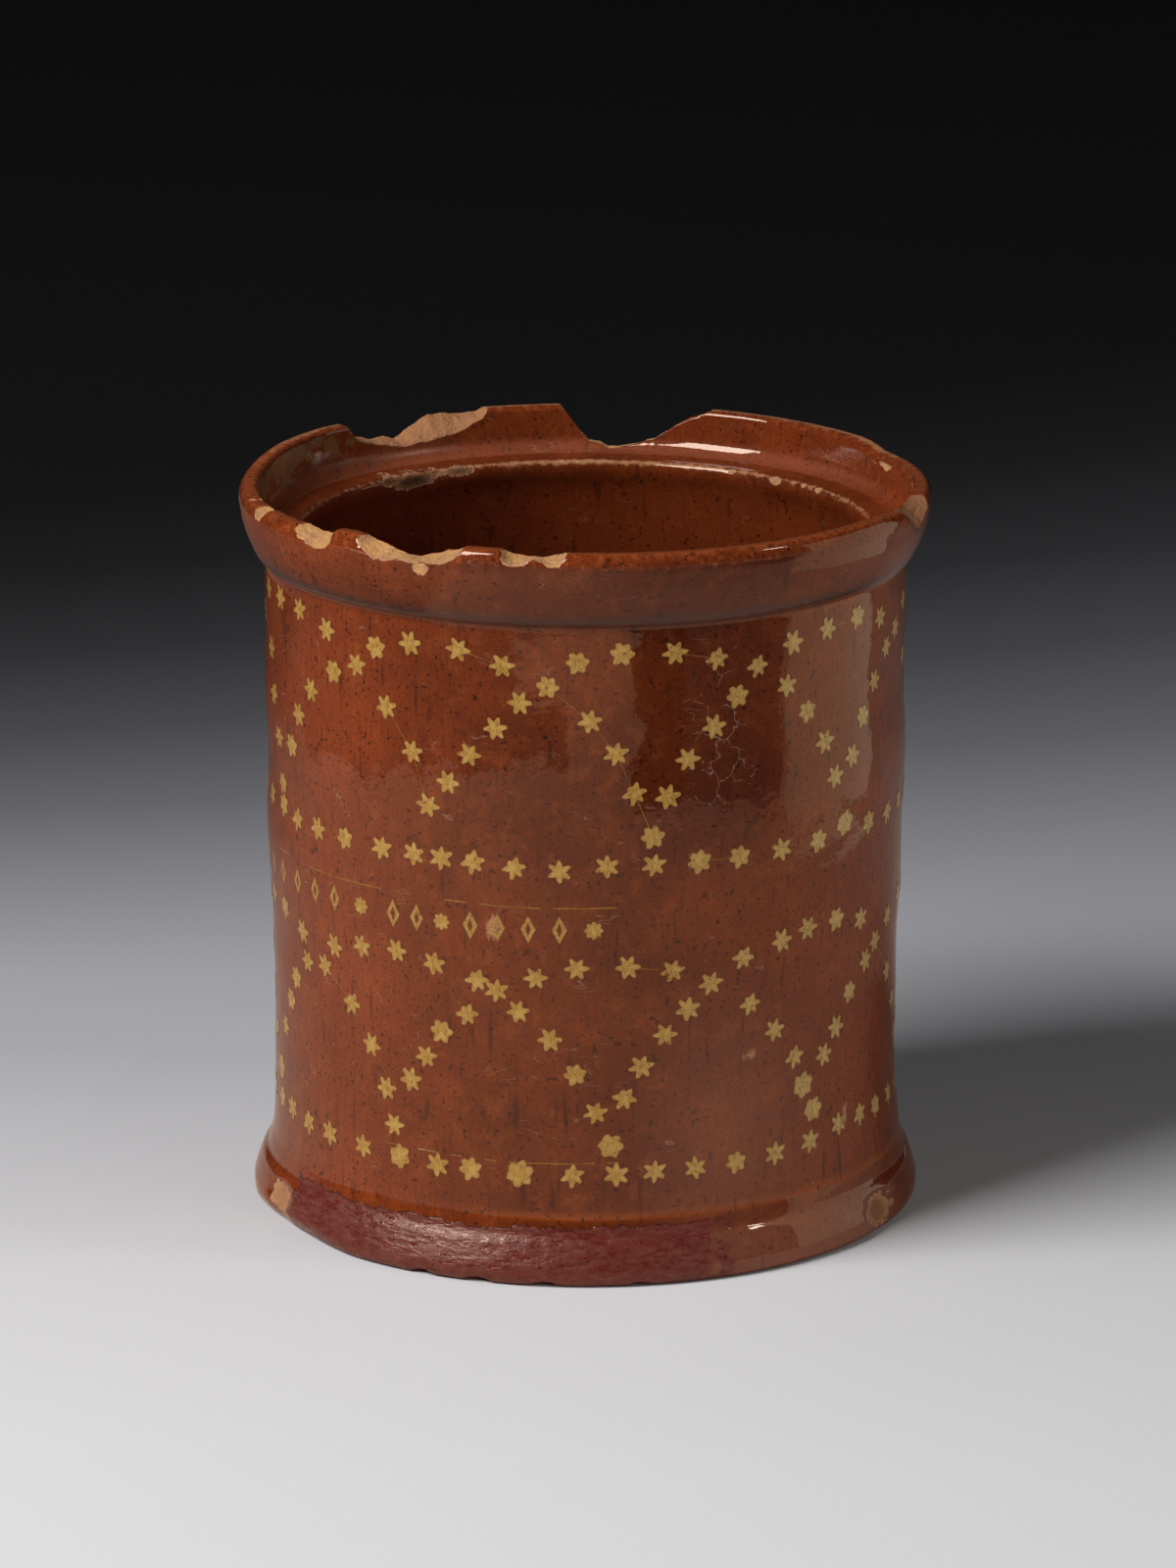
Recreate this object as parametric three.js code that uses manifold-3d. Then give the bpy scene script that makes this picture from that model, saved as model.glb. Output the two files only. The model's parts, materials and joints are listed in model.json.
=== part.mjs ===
// A cylindrical redware jar with a flared foot and a galleried collar that a lid would sit in. The
// fired clay is one piece. The inlays are separate pieces of slip: two registers of nine bays, each
// bay a string of stars that runs over an arch and down and up a V, two rows of stars that close on
// themselves, and a band of small lozenges and rosettes between the registers.
// Millimetres, +Z up, the base centred on the origin. Azimuths are degrees from the front (-Y),
// positive towards +X.
import * as THREE from "three";
import { mergeVertices } from "three/addons/utils/BufferGeometryUtils.js";
import Module from "manifold-3d";

// Driving dimensions of the vessel
const jarHeight = 136; // base to the unbroken rim
const boreRadius = 53; // inside of the wall, below the ledge
const wallThickness = 4.85; // at the waist, where the wall is thinnest
const floorThickness = 8;
const floorCornerRadius = 8;

// Foot
const footHeight = 10.2; // base to where the foot ends in the wall
const footBandHeight = 3; // upright edge of the foot
const footFlare = 4.25; // how far that edge stands out beyond the waist
const footTaper = 1.7; // how far the slope above the band draws in
const footStepHeight = 2.3; // from the slope's top to the foot's top
const footEdgeRise = 0.9; // worn bottom edge, up and in
const footEdgeSetback = 1.6;

// Wall
const heelSwell = 1.35; // beyond the waist, at the foot's top
const heelCurveHeight = 8.1; // over which most of that swell dies away
const heelCurveSwell = 0.3;
const waistRise = 22; // foot's top to the waist
const shoulderDrop = 28; // collar's root down to the fullest height of the wall
const shoulderSwell = 1.05; // beyond the waist
const rootSwell = 1.75; // beyond the waist, where the collar begins

// Collar, ledge and lip
const collarHeight = 15.3; // root to rim
const collarThickness = 4.85; // at its fullest
const collarFlareRise = 3.6; // root up to where the flare turns upright
const collarFlareSetback = 0.75;
const lipRounding = 2.5; // rim down to the collar's fullest height
const lipFlatWidth = 1.2; // level top of the lip
const lipInnerRounding = 1;
const galleryDepth = 8.5; // rim down to the ledge
const galleryFlare = 1; // how far the collar opens from the ledge to the lip
const galleryFillet = 0.8;
const ledgeWidth = 6.8; // lid seat, from the mouth out to the collar
const ledgeOverhang = 1; // how far the ledge stands in over the bore
const ledgeEdgeRadius = 1.2;
const ledgeLipHeight = 2.5; // rounded edge and the upright face below it
const ledgeSplayHeight = 3; // over which the overhang runs out into the bore

// Slip inlays
const starTipRadius = 2.35;
const starWaistRadius = 1.25; // between two arms
const starArms = 6;
const crownRise = 0.4; // middle of an inlay above its edge
const lineWidth = 0.5; // scribed line that joins the stars of a string
const lineRise = 0.2;
const seatGap = 0.1; // between the wall and the underside of an inlay
const rosetteRadius = 1.7;
const rosetteNotchRadius = 1.35;
const rosetteLobes = 8;
const lozengeHalfHeight = 2.6;
const lozengeHalfWidth = 1.4;
const bandClearance = 1.9; // between the arches' stars and the band's lozenges

// Fineness of the round forms
const turnSegments = 84;
const curveSteps = 4;
const weldDistance = 1e-3;
const cutMargin = 1; // how far a cutting solid reaches past what it cuts

// Worked out from the above
const waistRadius = boreRadius + wallThickness;
const footRadius = waistRadius + footFlare;
const collarRoot = jarHeight - collarHeight;
const rootRadius = waistRadius + rootSwell;
const ledgeHeight = jarHeight - galleryDepth;
const mouthRadius = boreRadius - ledgeOverhang;
const galleryRadius = mouthRadius + ledgeWidth;
const collarRadius = galleryRadius + collarThickness;
const lipInnerRadius = galleryRadius + galleryFlare;

// Where the rim is broken. A station is [azimuth, drop at the collar's inside, drop at its outside],
// the drops in shares of the gallery's depth; a share below 0 is above the rim, where nothing is cut.
const rimBreaks = {
  leftChip: [
    [-67.5, -0.1, -0.1],
    [-65, 0.02, 0.22],
    [-62, 0.06, 0.14],
    [-57, 0.06, 0.06],
    [-53.5, 0.11, 0.4],
    [-49, 0.16, 0.6],
    [-46, 0.16, 0.42],
    [-44, -0.1, -0.1],
  ],
  frontChip: [
    [-40, -0.1, -0.1],
    [-37.9, 0.07, 0.2],
    [-34.9, 0.18, 0.45],
    [-32.9, 0.27, 0.38],
    [-30.3, 0.33, 0.4],
    [-27.4, 0.25, 0.5],
    [-25.6, 0.19, 0.38],
    [-22, 0.04, 0.22],
    [-19.6, -0.1, -0.1],
  ],
  frontNick: [
    [-14, -0.1, -0.1],
    [-12, 0.05, 0.25],
    [-8.2, 0.13, 0.24],
    [-6, 0.1, 0.25],
    [-2.5, -0.1, -0.1],
  ],
  rightChip: [
    [63, -0.1, -0.1],
    [66, 0.06, 0.2],
    [71, 0.12, 0.62],
    [77, 0.08, 0.5],
    [80.5, -0.1, -0.1],
  ],
  backBreak: [
    [154.5, -0.1, -0.1],
    [160.3, 0.24, 0.33],
    [163.9, 0.55, 0.65],
    [167.4, 0.84, 0.92],
    [175.8, 0.95, 0.98],
    [179.6, 0.8, 0.87],
    [182.5, 0.33, 0.42],
    [186, -0.1, -0.1],
  ],
  backLeftBreak: [
    [196, -0.1, -0.1],
    [202.4, 0.41, 0.12],
    [206, 0.55, 0.03],
    [211, 0.61, 0.27],
    [215.4, 0.64, 0.54],
    [220.3, 0.52, 0.46],
    [223.6, 0.4, 0.36],
    [229.5, -0.1, -0.1],
  ],
};

// The star strings. A star is [azimuth, height in percent of the decorated wall], and a string runs
// leftwards over the arch, down the left arm to the apex and up the right arm.
const upperFrontBays = [
  [
    [-52, 95.7], [-61, 97.4], [-69.5, 97.6], [-78, 97.4], [-85.5, 92],
    [-76.5, 87.6], [-74, 80.4], [-71, 73.6], [-70, 65.9],
    [-64.5, 73.6], [-61.5, 79.5], [-57, 84.6], [-50, 89],
  ],
  [
    [-14.5, 94.4], [-22.5, 96.5], [-32, 96.5], [-39.4, 94.8], [-44, 91.2],
    [-37, 85.3], [-31.5, 78.6], [-28.5, 70],
    [-24.5, 74.3], [-20.5, 79.3], [-15.7, 84], [-11.4, 88.4],
  ],
  [
    [23.3, 95], [15.6, 96.5], [6.4, 96.7], [-1.3, 95.3], [-6.5, 91.2],
    [0.8, 85.6], [5.3, 80.2], [8.5, 73.6], [11.8, 66.1],
    [14.4, 72.7], [18, 78.7], [22.9, 83.7], [27.4, 88.3],
  ],
  [
    [64.5, 95.3], [56, 97.1], [47.3, 96.7], [38.9, 95.7], [31.3, 92.9],
    [37.7, 88.7], [42.5, 83.7], [46.8, 77.9], [49.6, 71.5],
    [54.6, 74], [58.4, 79.9], [62.8, 84.9], [67.8, 89.6],
  ],
];
const lowerFrontBays = [
  [
    [-62.3, 42.2], [-70.5, 44.4], [-78.5, 45], [-87, 44], [-96, 39.8],
    [-90, 34], [-85, 27], [-80.5, 21], [-76, 15.2],
    [-72.7, 23.3], [-69, 28.8], [-66, 33.3], [-61, 37.4],
  ],
  [
    [-19.5, 41.4], [-27.7, 43.3], [-35.5, 44.4], [-43.7, 43.7], [-51.3, 42.2], [-54.7, 38.1],
    [-47, 33.3], [-42, 27.1], [-38.4, 20.3], [-36.6, 14.4],
    [-33, 22.7], [-29.7, 27.1], [-26.5, 31.8], [-21.5, 35.4], [-15.9, 39.9],
  ],
  [
    [15.5, 43.3], [7.5, 44.3], [-1.5, 44.2], [-8.8, 42.4], [-12, 36.5],
    [-6.3, 31.9], [-1.8, 26.1], [1.8, 19.6], [4.5, 13.9],
    [7, 22], [10, 27.2], [14.3, 32.4], [18.5, 36.5],
  ],
  [
    [59, 45.2], [51, 46.9], [43.3, 46.9], [37.2, 45.8], [29, 44.2], [22.7, 40.5],
    [30.7, 36], [36.2, 30.6], [41, 25.2], [43.1, 19.9], [45.6, 15.3],
    [48.7, 24], [52, 28.1], [56, 33.3], [61.7, 37.4],
  ],
];

// A regular bay, its azimuths from the apex, fills the rest of the turn.
const upperRegularBay = [
  [12, 94.9], [4, 96.5], [-5, 96.6], [-13, 95.1], [-19.5, 91.8],
  [-11.5, 85.5], [-6.6, 79.8], [-3, 73.3], [0, 66],
  [3, 73.3], [6.4, 79.2], [10.8, 84.3], [15, 88.3],
];
const lowerRegularBay = [
  [11.5, 43], [3.5, 44.5], [-5, 44.5], [-13, 42.6], [-19.2, 39.8],
  [-11.8, 32.8], [-6.8, 26.5], [-3, 20], [0, 13.8],
  [2.8, 20.8], [5.8, 27], [10, 32.6], [14.6, 36.8],
];
const upperRegularApexes = [92.1, 131.7, 171.3, 210.8, 250.4];
const lowerRegularApexes = [84.9, 124.3, 163.8, 203.2, 242.6];

// The rows at the foot of each register: the stars of the front, then even steps round the back.
const upperFrontRow = [
  [-69.5, 62.3], [-63, 61.4], [-55.5, 61.4], [-47.5, 61.4], [-38.5, 61.4], [-31.5, 61.4], [-26, 61.4],
  [-20, 61.4], [-12.5, 60.9], [-4.5, 60.5], [3.8, 61.4], [12, 61.4], [20.3, 61.4], [28, 61.4],
  [36.7, 61.4], [45.5, 61.4], [52.8, 63], [61, 61.4], [69.5, 61.2],
];
const lowerFrontRow = [
  [-75, 10.2], [-68.5, 10], [-61, 9.5], [-53.5, 9.4], [-44, 9.3], [-35.3, 9.2], [-27.3, 9], [-20.8, 9.1],
  [-11.7, 9], [-2.3, 9], [5.5, 9.1], [12.4, 9.3], [20, 9.3], [28, 9.3], [36.3, 9.5], [44.7, 10],
  [52.8, 11.2], [60, 11.2], [67, 10.8],
];
const backRowStars = 26;

const bandRosettes = [-43.5, -26, 1.5];
const bandLozenges = [
  -109, -102.5, -96, -89.5, -83, -76.5, -70, -63, -56.5, -50.5, -36, -31, -20.5, -15.5, -10, -4.5,
];

const clay = { color: 0x7d3a20, roughness: 0.28, metalness: 0 };
const slip = { color: 0xc9a24a, roughness: 0.32, metalness: 0 };

const wasm = await Module();
wasm.setup();

function arc(centreX, centreY, radius, from, to) {
  const curve = new THREE.EllipseCurve(centreX, centreY, radius, radius, from, to, to < from);
  return curve.getPoints(curveSteps);
}

function bend(from, control, to) {
  return new THREE.QuadraticBezierCurve(from, control, to).getPoints(curveSteps);
}

// The outside of the jar as points of radius and height, from the base to the rim.
function outerProfile() {
  const stepBase = footHeight - footStepHeight;
  const waist = footHeight + waistRise;
  const shoulder = collarRoot - shoulderDrop;
  const fullest = new THREE.Vector2(collarRadius, jarHeight - lipRounding);
  return [
    new THREE.Vector2(footRadius - footEdgeSetback, 0),
    new THREE.Vector2(footRadius, footEdgeRise),
    new THREE.Vector2(footRadius, footBandHeight),
    new THREE.Vector2(footRadius - footTaper, stepBase),
    new THREE.Vector2(waistRadius + heelSwell, footHeight),
    new THREE.Vector2(waistRadius + heelCurveSwell, footHeight + heelCurveHeight),
    new THREE.Vector2(waistRadius, waist),
    new THREE.Vector2(waistRadius + shoulderSwell / 2, (waist + shoulder) / 2),
    new THREE.Vector2(waistRadius + shoulderSwell, shoulder),
    ...bend(
      new THREE.Vector2(rootRadius, collarRoot),
      new THREE.Vector2(collarRadius - collarFlareSetback, collarRoot + collarFlareRise),
      fullest,
    ),
    ...bend(
      fullest,
      new THREE.Vector2(collarRadius, jarHeight),
      new THREE.Vector2(lipInnerRadius + lipInnerRounding + lipFlatWidth, jarHeight),
    ).slice(1),
  ];
}

// The inside, from the rim down over the ledge to the middle of the floor.
function innerProfile() {
  const splayTop = ledgeHeight - ledgeLipHeight;
  return [
    ...bend(
      new THREE.Vector2(lipInnerRadius + lipInnerRounding, jarHeight),
      new THREE.Vector2(lipInnerRadius, jarHeight),
      new THREE.Vector2(lipInnerRadius, jarHeight - lipInnerRounding),
    ),
    new THREE.Vector2(galleryRadius, ledgeHeight + galleryFillet),
    new THREE.Vector2(galleryRadius - galleryFillet, ledgeHeight),
    ...arc(
      mouthRadius + ledgeEdgeRadius, ledgeHeight - ledgeEdgeRadius, ledgeEdgeRadius, Math.PI / 2, Math.PI,
    ),
    new THREE.Vector2(mouthRadius, splayTop),
    new THREE.Vector2(boreRadius, splayTop - ledgeSplayHeight),
    ...arc(
      boreRadius - floorCornerRadius, floorThickness + floorCornerRadius, floorCornerRadius, 0, -Math.PI / 2,
    ),
    new THREE.Vector2(0, floorThickness),
  ];
}

const outside = outerProfile();

// Radius of the wall's outside at a height.
function wallRadius(height) {
  const above = outside.findIndex((point) => point.y > height);
  const low = outside[above - 1];
  const high = outside[above];
  return THREE.MathUtils.mapLinear(height, low.y, high.y, low.x, high.x);
}

function onTurn(azimuth, radius, height) {
  return new THREE.Vector3(radius * Math.sin(azimuth), -radius * Math.cos(azimuth), height);
}

function geometryOf(triangles) {
  const geometry = new THREE.BufferGeometry().setFromPoints(triangles.flat());
  geometry.computeVertexNormals();
  return geometry;
}

function solidOf(geometry) {
  const bare = geometry.clone();
  bare.deleteAttribute("normal");
  bare.deleteAttribute("uv");
  const welded = mergeVertices(bare, weldDistance);
  const mesh = new wasm.Mesh({
    numProp: 3,
    vertProperties: welded.attributes.position.array,
    triVerts: new Uint32Array(welded.index.array),
  });
  return new wasm.Manifold(mesh);
}

function geometryOfSolid(solid) {
  const { vertProperties, triVerts } = solid.getMesh();
  const geometry = new THREE.BufferGeometry();
  geometry.setAttribute("position", new THREE.BufferAttribute(vertProperties, 3));
  geometry.setIndex(new THREE.BufferAttribute(triVerts, 1));
  geometry.computeVertexNormals();
  return geometry;
}

// A closed solid through sections with equal numbers of corners, each anticlockwise when looked at
// from before the first.
function loft(sections) {
  const triangles = [];
  for (let i = 1; i < sections.length; i += 1) {
    const near = sections[i - 1];
    const far = sections[i];
    near.forEach((corner, j) => {
      const next = (j + 1) % near.length;
      triangles.push([corner, far[j], far[next]], [corner, far[next], near[next]]);
    });
  }
  const first = sections[0];
  const last = sections.at(-1);
  for (let j = 2; j < first.length; j += 1) {
    triangles.push([first[0], first[j - 1], first[j]], [last[0], last[j], last[j - 1]]);
  }
  return geometryOf(triangles);
}

// The clay missing from the collar above one break: its underside is the fracture.
function missingClay(stations) {
  const top = jarHeight + cutMargin;
  const sections = stations.map(([azimuth, innerDrop, outerDrop]) => {
    const turn = THREE.MathUtils.degToRad(azimuth);
    const fractureAt = (radius) => {
      const drop = THREE.MathUtils.mapLinear(radius, galleryRadius, collarRadius, innerDrop, outerDrop);
      return jarHeight - drop * galleryDepth;
    };
    const inner = galleryRadius - cutMargin;
    const outer = collarRadius + cutMargin;
    return [
      onTurn(turn, inner, fractureAt(inner)),
      onTurn(turn, outer, fractureAt(outer)),
      onTurn(turn, outer, top),
      onTurn(turn, inner, top),
    ];
  });
  return loft(sections);
}

function vessel() {
  const profile = [new THREE.Vector2(0, 0), ...outside, ...innerProfile()];
  const whole = new THREE.LatheGeometry(profile, turnSegments).rotateX(Math.PI / 2);
  const broken = Object.values(rimBreaks).reduce(
    (jar, stations) => jar.subtract(solidOf(missingClay(stations))),
    solidOf(whole),
  );
  return geometryOfSolid(broken);
}

// A point of an inlay: across and up from its middle, and so far out from its seat on the wall.
function onInlay({ azimuth, height }, across, up, rise) {
  const turn = azimuth + across / wallRadius(height);
  return onTurn(turn, wallRadius(height + up) + seatGap + rise, height + up);
}

function heightOnWall(percent) {
  return THREE.MathUtils.lerp(footHeight, collarRoot, percent / 100);
}

function placed([azimuth, percent]) {
  return { azimuth: THREE.MathUtils.degToRad(azimuth), height: heightOnWall(percent) };
}

function wrapped(angle) {
  return THREE.MathUtils.euclideanModulo(angle + Math.PI, 2 * Math.PI) - Math.PI;
}

// Direction on the wall from one inlay to another, anticlockwise from rightwards.
function headingTo(from, to) {
  const across = wrapped(to.azimuth - from.azimuth) * wallRadius(from.height);
  return Math.atan2(to.height - from.height, across);
}

// The end of a line in the tip of a star: the corner clockwise of the tip, the one anticlockwise of
// it, and the line's ridge between them.
function lineEnd(star, heading) {
  const tipX = Math.cos(heading) * starTipRadius;
  const tipY = Math.sin(heading) * starTipRadius;
  const sideX = (-Math.sin(heading) * lineWidth) / 2;
  const sideY = (Math.cos(heading) * lineWidth) / 2;
  return {
    clockwise: onInlay(star, tipX - sideX, tipY - sideY, 0),
    anticlockwise: onInlay(star, tipX + sideX, tipY + sideY, 0),
    ridge: onInlay(star, tipX, tipY, lineRise),
  };
}

// One star of a string: an arm points along each line that it meets. Returns its triangles, and the
// line ends that the neighbours join.
function stringStar(star, previous, next) {
  const pitch = (2 * Math.PI) / starArms;
  const base = headingTo(star, previous ?? next);
  const away = next ? wrapped(headingTo(star, next) - base) : 0;
  // The nearest arm to the next star, but never the one that the previous star's line meets.
  const armsAway = Math.round(away / pitch) || Math.sign(away) || 1;
  const leaving = previous ? THREE.MathUtils.euclideanModulo(armsAway, starArms) : 0;
  const ends = {
    previous: previous && lineEnd(star, base),
    next: next && lineEnd(star, base + leaving * pitch),
  };
  const seat = onInlay(star, 0, 0, 0);
  const crown = onInlay(star, 0, 0, crownRise);
  const rim = [];
  for (let arm = 0; arm < starArms; arm += 1) {
    const heading = base + arm * pitch;
    const end = (arm === 0 && ends.previous) || (arm === leaving && ends.next);
    if (end) rim.push(end.clockwise, end.ridge, end.anticlockwise);
    else rim.push(onInlay(star, Math.cos(heading) * starTipRadius, Math.sin(heading) * starTipRadius, 0));
    const between = heading + pitch / 2;
    rim.push(onInlay(star, Math.cos(between) * starWaistRadius, Math.sin(between) * starWaistRadius, 0));
  }
  const ridges = [ends.previous?.ridge, ends.next?.ridge];
  const edge = rim.filter((point) => !ridges.includes(point));
  return { ends, triangles: [...fan(crown, rim), ...fan(seat, edge.reverse())] };
}

function fan(middle, ring) {
  return ring.map((point, i) => [point, ring[(i + 1) % ring.length], middle]);
}

function scribedLine(start, end) {
  return [
    [start.clockwise, end.anticlockwise, end.ridge],
    [start.clockwise, end.ridge, start.ridge],
    [start.ridge, end.ridge, end.clockwise],
    [start.ridge, end.clockwise, start.anticlockwise],
    [start.clockwise, start.anticlockwise, end.clockwise],
    [start.clockwise, end.clockwise, end.anticlockwise],
  ];
}

// Stars joined by the scribed line that sets them out. A closed string joins its last to its first.
function starString(places, closed) {
  const stars = places.map(placed);
  const count = stars.length;
  const made = stars.map((star, i) => {
    const previous = closed ? stars[(i + count - 1) % count] : stars[i - 1];
    const next = closed ? stars[(i + 1) % count] : stars[i + 1];
    return stringStar(star, previous, next);
  });
  const triangles = made.flatMap((star) => star.triangles);
  made.forEach((star, i) => {
    const next = made[closed ? (i + 1) % count : i + 1];
    if (next) triangles.push(...scribedLine(star.ends.next, next.ends.previous));
  });
  return geometryOf(triangles);
}

// Middle of the band: its lozenges clear the stars at the crests of the lower arches.
function bandHeight() {
  const crest = Math.max(...lowerRegularBay.map(([, percent]) => percent));
  return heightOnWall(crest) + starTipRadius + bandClearance + lozengeHalfHeight;
}

// A single low inlay of the band, its outline's corners [across, up] anticlockwise.
function stamp(azimuth, corners) {
  const middle = { azimuth: THREE.MathUtils.degToRad(azimuth), height: bandHeight() };
  const rim = corners.map(([across, up]) => onInlay(middle, across, up, 0));
  const crown = onInlay(middle, 0, 0, crownRise);
  const seat = onInlay(middle, 0, 0, 0);
  return geometryOf([...fan(crown, rim), ...fan(seat, [...rim].reverse())]);
}

function rosetteOutline() {
  return Array.from({ length: 2 * rosetteLobes }, (_, i) => {
    const radius = i % 2 ? rosetteNotchRadius : rosetteRadius;
    const angle = (i * Math.PI) / rosetteLobes;
    return [radius * Math.cos(angle), radius * Math.sin(angle)];
  });
}

const lozengeOutline = [
  [lozengeHalfWidth, 0],
  [0, lozengeHalfHeight],
  [-lozengeHalfWidth, 0],
  [0, -lozengeHalfHeight],
];

function turned(bay, apexAzimuth) {
  return bay.map(([azimuth, percent]) => [azimuth + apexAzimuth, percent]);
}

// The rest of a row: even steps from the last star of the front round to the first.
function closedRow(frontStars) {
  const [startAzimuth, startHeight] = frontStars.at(-1);
  const [endAzimuth, endHeight] = frontStars[0];
  const back = Array.from({ length: backRowStars }, (_, i) => {
    const share = (i + 1) / (backRowStars + 1);
    return [
      THREE.MathUtils.lerp(startAzimuth, endAzimuth + 360, share),
      THREE.MathUtils.lerp(startHeight, endHeight, share),
    ];
  });
  return [...frontStars, ...back].reverse();
}

function meshOf(name, geometry, finish) {
  const mesh = new THREE.Mesh(geometry, new THREE.MeshStandardMaterial(finish));
  mesh.name = name;
  return mesh;
}

function register(name, frontBays, regularBay, regularApexes, row) {
  const group = new THREE.Group();
  const bays = [...frontBays, ...regularApexes.map((apex) => turned(regularBay, apex))];
  bays.forEach((bay, i) => group.add(meshOf(`${name}_bay_${i + 1}`, starString(bay, false), slip)));
  group.add(meshOf(`${name}_row`, starString(closedRow(row), true), slip));
  return group;
}

function band() {
  const group = new THREE.Group();
  bandRosettes.forEach((azimuth, i) =>
    group.add(meshOf(`band_rosette_${i + 1}`, stamp(azimuth, rosetteOutline()), slip)),
  );
  bandLozenges.forEach((azimuth, i) =>
    group.add(meshOf(`band_lozenge_${i + 1}`, stamp(azimuth, lozengeOutline), slip)),
  );
  return group;
}

const jar = new THREE.Group();
jar.add(meshOf("jar_body", vessel(), clay));
jar.add(register("upper", upperFrontBays, upperRegularBay, upperRegularApexes, upperFrontRow));
jar.add(register("lower", lowerFrontBays, lowerRegularBay, lowerRegularApexes, lowerFrontRow));
jar.add(band());

export default jar;
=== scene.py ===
"""A galleried jar of glazed redware, inlaid with stars of pale slip, on a photographer's table.

Lengths are millimetres until a mesh is made, and meshes are in metres, +Z up. Azimuths are degrees
from the front (-Y), positive towards +X.
"""

import json
import logging
import math
from dataclasses import dataclass, field
from enum import Enum
from typing import Any, Sequence

import bpy
import numpy as np
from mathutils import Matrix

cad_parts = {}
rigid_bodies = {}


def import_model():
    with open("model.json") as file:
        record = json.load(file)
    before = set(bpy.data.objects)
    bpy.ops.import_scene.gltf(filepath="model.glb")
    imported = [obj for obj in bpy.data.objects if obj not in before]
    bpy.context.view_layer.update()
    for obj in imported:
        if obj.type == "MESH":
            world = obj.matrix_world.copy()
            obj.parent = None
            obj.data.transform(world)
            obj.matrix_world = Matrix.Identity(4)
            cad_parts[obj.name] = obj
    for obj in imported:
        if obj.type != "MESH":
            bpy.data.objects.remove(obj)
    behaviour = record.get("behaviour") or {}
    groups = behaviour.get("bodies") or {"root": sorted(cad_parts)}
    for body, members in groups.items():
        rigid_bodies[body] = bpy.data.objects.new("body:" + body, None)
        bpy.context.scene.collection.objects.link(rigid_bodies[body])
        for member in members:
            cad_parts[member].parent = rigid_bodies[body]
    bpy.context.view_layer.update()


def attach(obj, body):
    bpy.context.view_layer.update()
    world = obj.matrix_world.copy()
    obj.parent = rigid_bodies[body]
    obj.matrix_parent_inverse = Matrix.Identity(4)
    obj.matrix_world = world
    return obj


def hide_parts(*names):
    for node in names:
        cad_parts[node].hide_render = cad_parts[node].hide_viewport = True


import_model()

log = logging.getLogger("redware_jar")

MM = 0.001
Socket = bpy.types.NodeSocket
Tree = bpy.types.NodeTree
Star = tuple[float, float]
Pairs = tuple[tuple[float, float], ...]


def linear(colour: str) -> tuple[float, float, float, float]:
    """Turns an sRGB colour into the linear one that a shader takes.

    Args:
        colour: the colour as #rrggbb.

    Returns:
        Linear red, green and blue, and an alpha of 1.
    """
    shares = [int(colour[i : i + 2], 16) / 255 for i in (1, 3, 5)]
    red, green, blue = [s / 12.92 if s <= 0.04045 else ((s + 0.055) / 1.055) ** 2.4 for s in shares]
    return red, green, blue, 1.0


def feed(tree: Tree, node: bpy.types.Node, inputs: dict[str | int, Any]) -> None:
    """Sets a node's inputs.

    Args:
        tree: the tree that the node is in.
        node: the node.
        inputs: for an input's name or number, the value that it takes or the output that feeds it.
    """
    for name, value in inputs.items():
        if isinstance(value, Socket):
            tree.links.new(value, node.inputs[name])
        else:
            node.inputs[name].default_value = value


def add_node(tree: Tree, kind: str, inputs: dict | None = None, **settings: Any) -> bpy.types.Node:
    """Adds a node to a tree.

    Args:
        tree: the tree that gets the node.
        kind: Blender's name for the kind of node.
        inputs: the inputs, as feed takes them.
        settings: the node's own settings, by name.

    Returns:
        The new node.
    """
    node = tree.nodes.new(kind)
    for name, value in settings.items():
        setattr(node, name, value)
    feed(tree, node, inputs or {})
    return node


def ramp(value: np.ndarray | float, start: float, end: float) -> np.ndarray:
    """Gives how far a value has come on its way from start to end, from 0 to 1."""
    return np.clip((value - start) / (end - start), 0, 1)


def peak(value: np.ndarray | float, middle: float, half_width: float) -> np.ndarray:
    """Gives 1 where a value is at the middle, and falls evenly to 0 on both sides of it."""
    return np.clip(1 - np.abs(value - middle) / half_width, 0, 1)


def toward(turn: float) -> np.ndarray:
    """Gives the flat direction at a turn in radians."""
    return np.array((math.cos(turn), math.sin(turn)))


def new_object(name: str, data: bpy.types.ID) -> bpy.types.Object:
    """Puts new data into the scene as an object at the origin.

    Args:
        name: the object's name.
        data: its mesh, light or camera.

    Returns:
        The object.
    """
    made = bpy.data.objects.new(name, data)
    bpy.context.scene.collection.objects.link(made)
    return made


def new_mesh(
    name: str,
    points: np.ndarray,
    faces: Sequence[Sequence[int]],
    marks: dict[str, np.ndarray] | None = None,
    edges: Sequence[tuple[int, int]] = (),
) -> bpy.types.Mesh:
    """Makes a mesh.

    Args:
        name: the mesh's name.
        points: its vertices in metres.
        faces: its faces, as numbers of vertices.
        marks: one number for each vertex, by the name of the attribute that holds it.
        edges: edges that belong to no face.

    Returns:
        The mesh.
    """
    mesh = bpy.data.meshes.new(name)
    mesh.from_pydata([tuple(p) for p in points], list(edges), [list(f) for f in faces])
    for mark, values in (marks or {}).items():
        attribute = mesh.attributes.new(mark, "FLOAT", "POINT")
        attribute.data.foreach_set("value", np.asarray(values, np.float32))
    mesh.update()
    return mesh


def start_material(name: str) -> tuple[bpy.types.Material, Tree, bpy.types.Node]:
    """Starts a material.

    Args:
        name: the material's name.

    Returns:
        The material, its tree and the Principled BSDF that feeds its output.
    """
    material = bpy.data.materials.new(name)
    material.use_nodes = True
    tree = material.node_tree
    tree.nodes.clear()
    body = add_node(tree, "ShaderNodeBsdfPrincipled")
    add_node(tree, "ShaderNodeOutputMaterial", {"Surface": body.outputs[0]})
    return material, tree, body


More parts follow.
